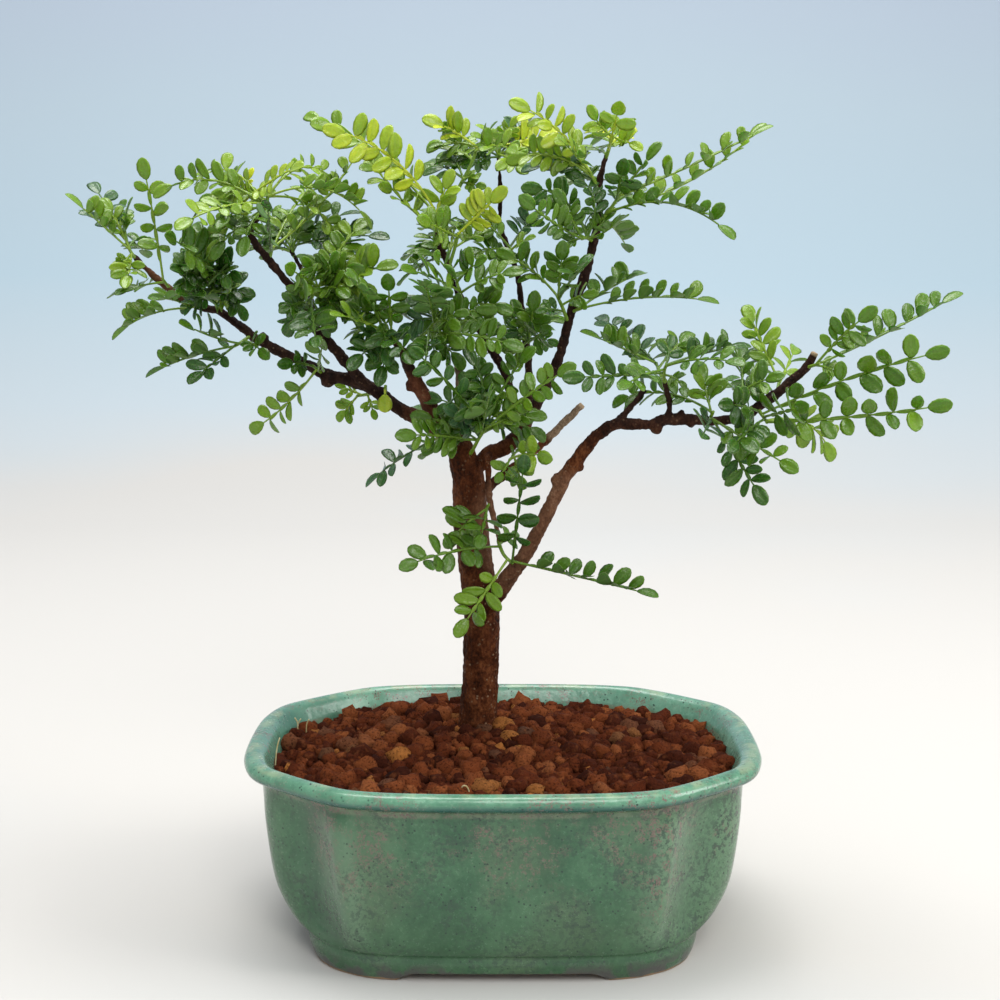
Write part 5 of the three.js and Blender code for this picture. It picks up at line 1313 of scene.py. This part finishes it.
shoot_tree, shoot_in = geometry_tree("leafy_shoot", [
    ("Leaflet", "Object"), ("Stalk sides", "Int"), ("Finish", "Material"),
])
seated = node(shoot_tree, "FunctionNodeCompare", {"operation": "GREATER_THAN"}, {
    0: trait("seat"), 1: 0.5})
leaf_turn = node(shoot_tree, "FunctionNodeAxesToRotation", {"primary_axis": "X", "secondary_axis": "Z"}, {
    "Primary Axis": trait("aim", "FLOAT_VECTOR"),
    "Secondary Axis": trait("face", "FLOAT_VECTOR")})
one_leaflet = node(shoot_tree, "GeometryNodeObjectInfo", None, {"Object": shoot_in["Leaflet"]}, 4)
leaflets = node(shoot_tree, "GeometryNodeInstanceOnPoints", None, {
    "Points": shoot_in["Geometry"], "Selection": seated, "Instance": one_leaflet, "Rotation": leaf_turn,
    "Scale": trait("size", "FLOAT_VECTOR")})
stalk_lines = node(shoot_tree, "GeometryNodeMeshToCurve", None, {"Mesh": shoot_in["Geometry"]})
stalk_round = node(shoot_tree, "GeometryNodeCurvePrimitiveCircle", None, {
    "Resolution": shoot_in["Stalk sides"], "Radius": 1.0})
stalks = node(shoot_tree, "GeometryNodeCurveToMesh", None, {
    "Curve": stalk_lines, "Profile Curve": stalk_round, "Scale": trait("girth"),
    "Fill Caps": True})
joined = shoot_tree.nodes.new("GeometryNodeJoinGeometry")
for part in (leaflets, stalks):
    shoot_tree.links.new(part.socket, joined.inputs[0])
close_tree(shoot_tree, Flow(shoot_tree, joined.outputs[0]), shoot_in["Finish"])

leaf = Finish("leaf_blade")
tone_by_age_and_sheen = leaf.attribute("tone") + (leaf.noise(5, 2.0) - 0.5) * 0.14
below = leaf.attribute("below")
midrib = 1.0 - leaf.attribute("vein").between(0.01, 0.1)
leaf_green = layered(
    # Tone 0 is a painted bluish sheen, a painted reflection; from 0.1 on the tones run from dark and old to
    # yellow.
    tone_by_age_and_sheen.colours(
        (0.0, (0.048, 0.11, 0.042)), (0.1, (0.028, 0.082, 0.013)), (0.22, (0.032, 0.088, 0.006)),
        (0.42, (0.082, 0.17, 0.009)), (0.62, (0.17, 0.285, 0.016)), (0.8, (0.285, 0.405, 0.024)),
        (1.0, (0.6, 0.66, 0.034)),
    ),
    (below * 0.4, (0.11, 0.2, 0.05)),
    (midrib * 0.16, (0.2, 0.33, 0.06)),
    # A paler margin, partly the leaflet's own pale rim and partly a painted highlight along its edge.
    (leaf.attribute("margin").between(0.74, 1.0) * 0.5, (0.27, 0.37, 0.095)),
)
leaf_material = leaf.shade({
    "Base Color": leaf_green,
    "Roughness": 0.15 + leaf.noise(2.5, 2.0) * 0.24 + below * 0.28,
    "Normal": leaf.bump(leaf.noise(1.5, 2.0), 0.3),
    "Specular IOR Level": 0.42,
    "Subsurface Weight": 0.12,
    "Subsurface Radius": (0.4, 1.0, 0.2),
    "Subsurface Scale": MM,
})
one_leaf = leaflet_shape()
wood_spots = np.array([spot for stations in LIMBS.values() for spot in spots_along(stations, 0)[0]])
for shoot_index, (name, blades) in enumerate(lay_all().items()):
    twig, fronds = SHOOTS[name]
    sprig = Sprig()
    stations = [place(*station) for station in twig]
    nearest = np.argmin(np.linalg.norm(wood_spots - stations[0], axis=1))
    stem = smooth_through([wood_spots[nearest], *stations], TWIG_STEPS, False)
    sprig.line(stem, np.linspace(*TWIG_RADII, len(stem)), TWIG_TONE)
    middle = np.mean([row[1:3] for row in fronds], axis=0)
    size = BROAD.get(name, 1.0)
    for index, (blade, row) in enumerate(zip(blades, fronds)):
        seed = 17.3 * shoot_index + 3.1 * index
        plant_frond(sprig, blade, seed, index in FOLDED.get(name, ()), size)
        smaller = companions(twig, blade, row, middle, seed)[:BEHIND.get(name, 0)]
        for order, behind in enumerate(smaller if blade.pairs > 2 else []):
            plant_frond(sprig, behind, seed + 1.7 + order, size=SMALLER_LEAFLETS * size)
    shoot = sprig.object(f"leafy_{name}")
    grow(shoot, shoot_tree, {"Leaflet": one_leaf, "Stalk sides": STALK_SIDES, "Finish": leaf_material})
    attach(shoot, "root")
    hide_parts(f"shoot_{name}")
bpy.data.objects.remove(one_leaf)

# The studio
# A pale paper floor that rises behind the plant, with soft lights in front, at the right, above and
# over the paper behind. The camera stands where the photograph's camera stood.
CAMERA_PITCH = 9.8
LENS = 55.8
BEND_START = 0.8
BEND_RADIUS = 1.5
BACKDROP_TOP = 3.2
FLOOR_HALF_WIDTH = 3.5
floor_route = [(-3.0, 0), (BEND_START, 0)]
for angle in range(0, 91, 5):
    turn = math.radians(angle)
    floor_route.append((BEND_START + BEND_RADIUS * math.sin(turn), BEND_RADIUS * (1 - math.cos(turn))))
floor_route.append((BEND_START + BEND_RADIUS, BACKDROP_TOP))
floor_points = [(side * FLOOR_HALF_WIDTH, away, up) for away, up in floor_route for side in (-1, 1)]
floor_faces = [(2 * row, 2 * row + 1, 2 * row + 3, 2 * row + 2) for row in range(len(floor_route) - 1)]
floor = mesh_object("pale_floor", floor_points, floor_faces)
paper = Finish("pale_paper")
rise = paper.axis(2) + (paper.noise(900, 2.0) - 0.5) * 200.0
wear(floor, paper.shade({
    "Base Color": (rise / 1500.0).colours(
        (0.0, (0.58, 0.555, 0.52)), (0.04, (0.51, 0.57, 0.6)), (0.12, (0.45, 0.56, 0.62)),
        (0.3, (0.47, 0.56, 0.62)), (0.55, (0.47, 0.52, 0.62)),
    ),
    "Roughness": 0.9,
    "Specular IOR Level": 0.2,
}))


def soft_light(name, spot, target, size, power, colour):
    lamp = bpy.data.lights.new(name, "AREA")
    lamp.size = size
    lamp.energy = power
    lamp.color = colour
    holder = placed(name, lamp)
    holder.location = spot
    holder.rotation_euler = (Vector(target) - Vector(spot)).to_track_quat("-Z", "Y").to_euler()


# Three of the lights point at the foot of the crown.
CROWN_FOOT = (0, 0, 0.16)
WARM_WHITE = (1.0, 0.985, 0.95)
WHITE = (1.0, 1.0, 1.0)
soft_light("front_light", (0.2, -1.1, 1.1), CROWN_FOOT, 0.6, 7.5, WARM_WHITE)
soft_light("right_light", (1.15, -0.3, 0.8), CROWN_FOOT, 0.6, 8.5, WARM_WHITE)
soft_light("top_light", (-0.15, 0.25, 1.3), CROWN_FOOT, 0.7, 9.0, WHITE)
soft_light("backdrop_light", (0, 0.3, 2.4), (0, 2.0, 0.4), 1.8, 34, WHITE)
world = bpy.data.worlds.new("studio_air")
world.use_nodes = True
air = world.node_tree.nodes["Background"].inputs
air["Color"].default_value = (0.88, 0.94, 1.0, 1)
air["Strength"].default_value = 0.58
bpy.context.scene.world = world
bpy.context.scene.view_settings.view_transform = "Standard"

lens = bpy.data.cameras.new("camera")
lens.lens = LENS
lens.clip_start = 0.01
camera = placed("camera", lens)
camera.location = EYE * MM
camera.rotation_euler = (math.radians(90 - CAMERA_PITCH), 0, 0)
bpy.context.scene.camera = camera
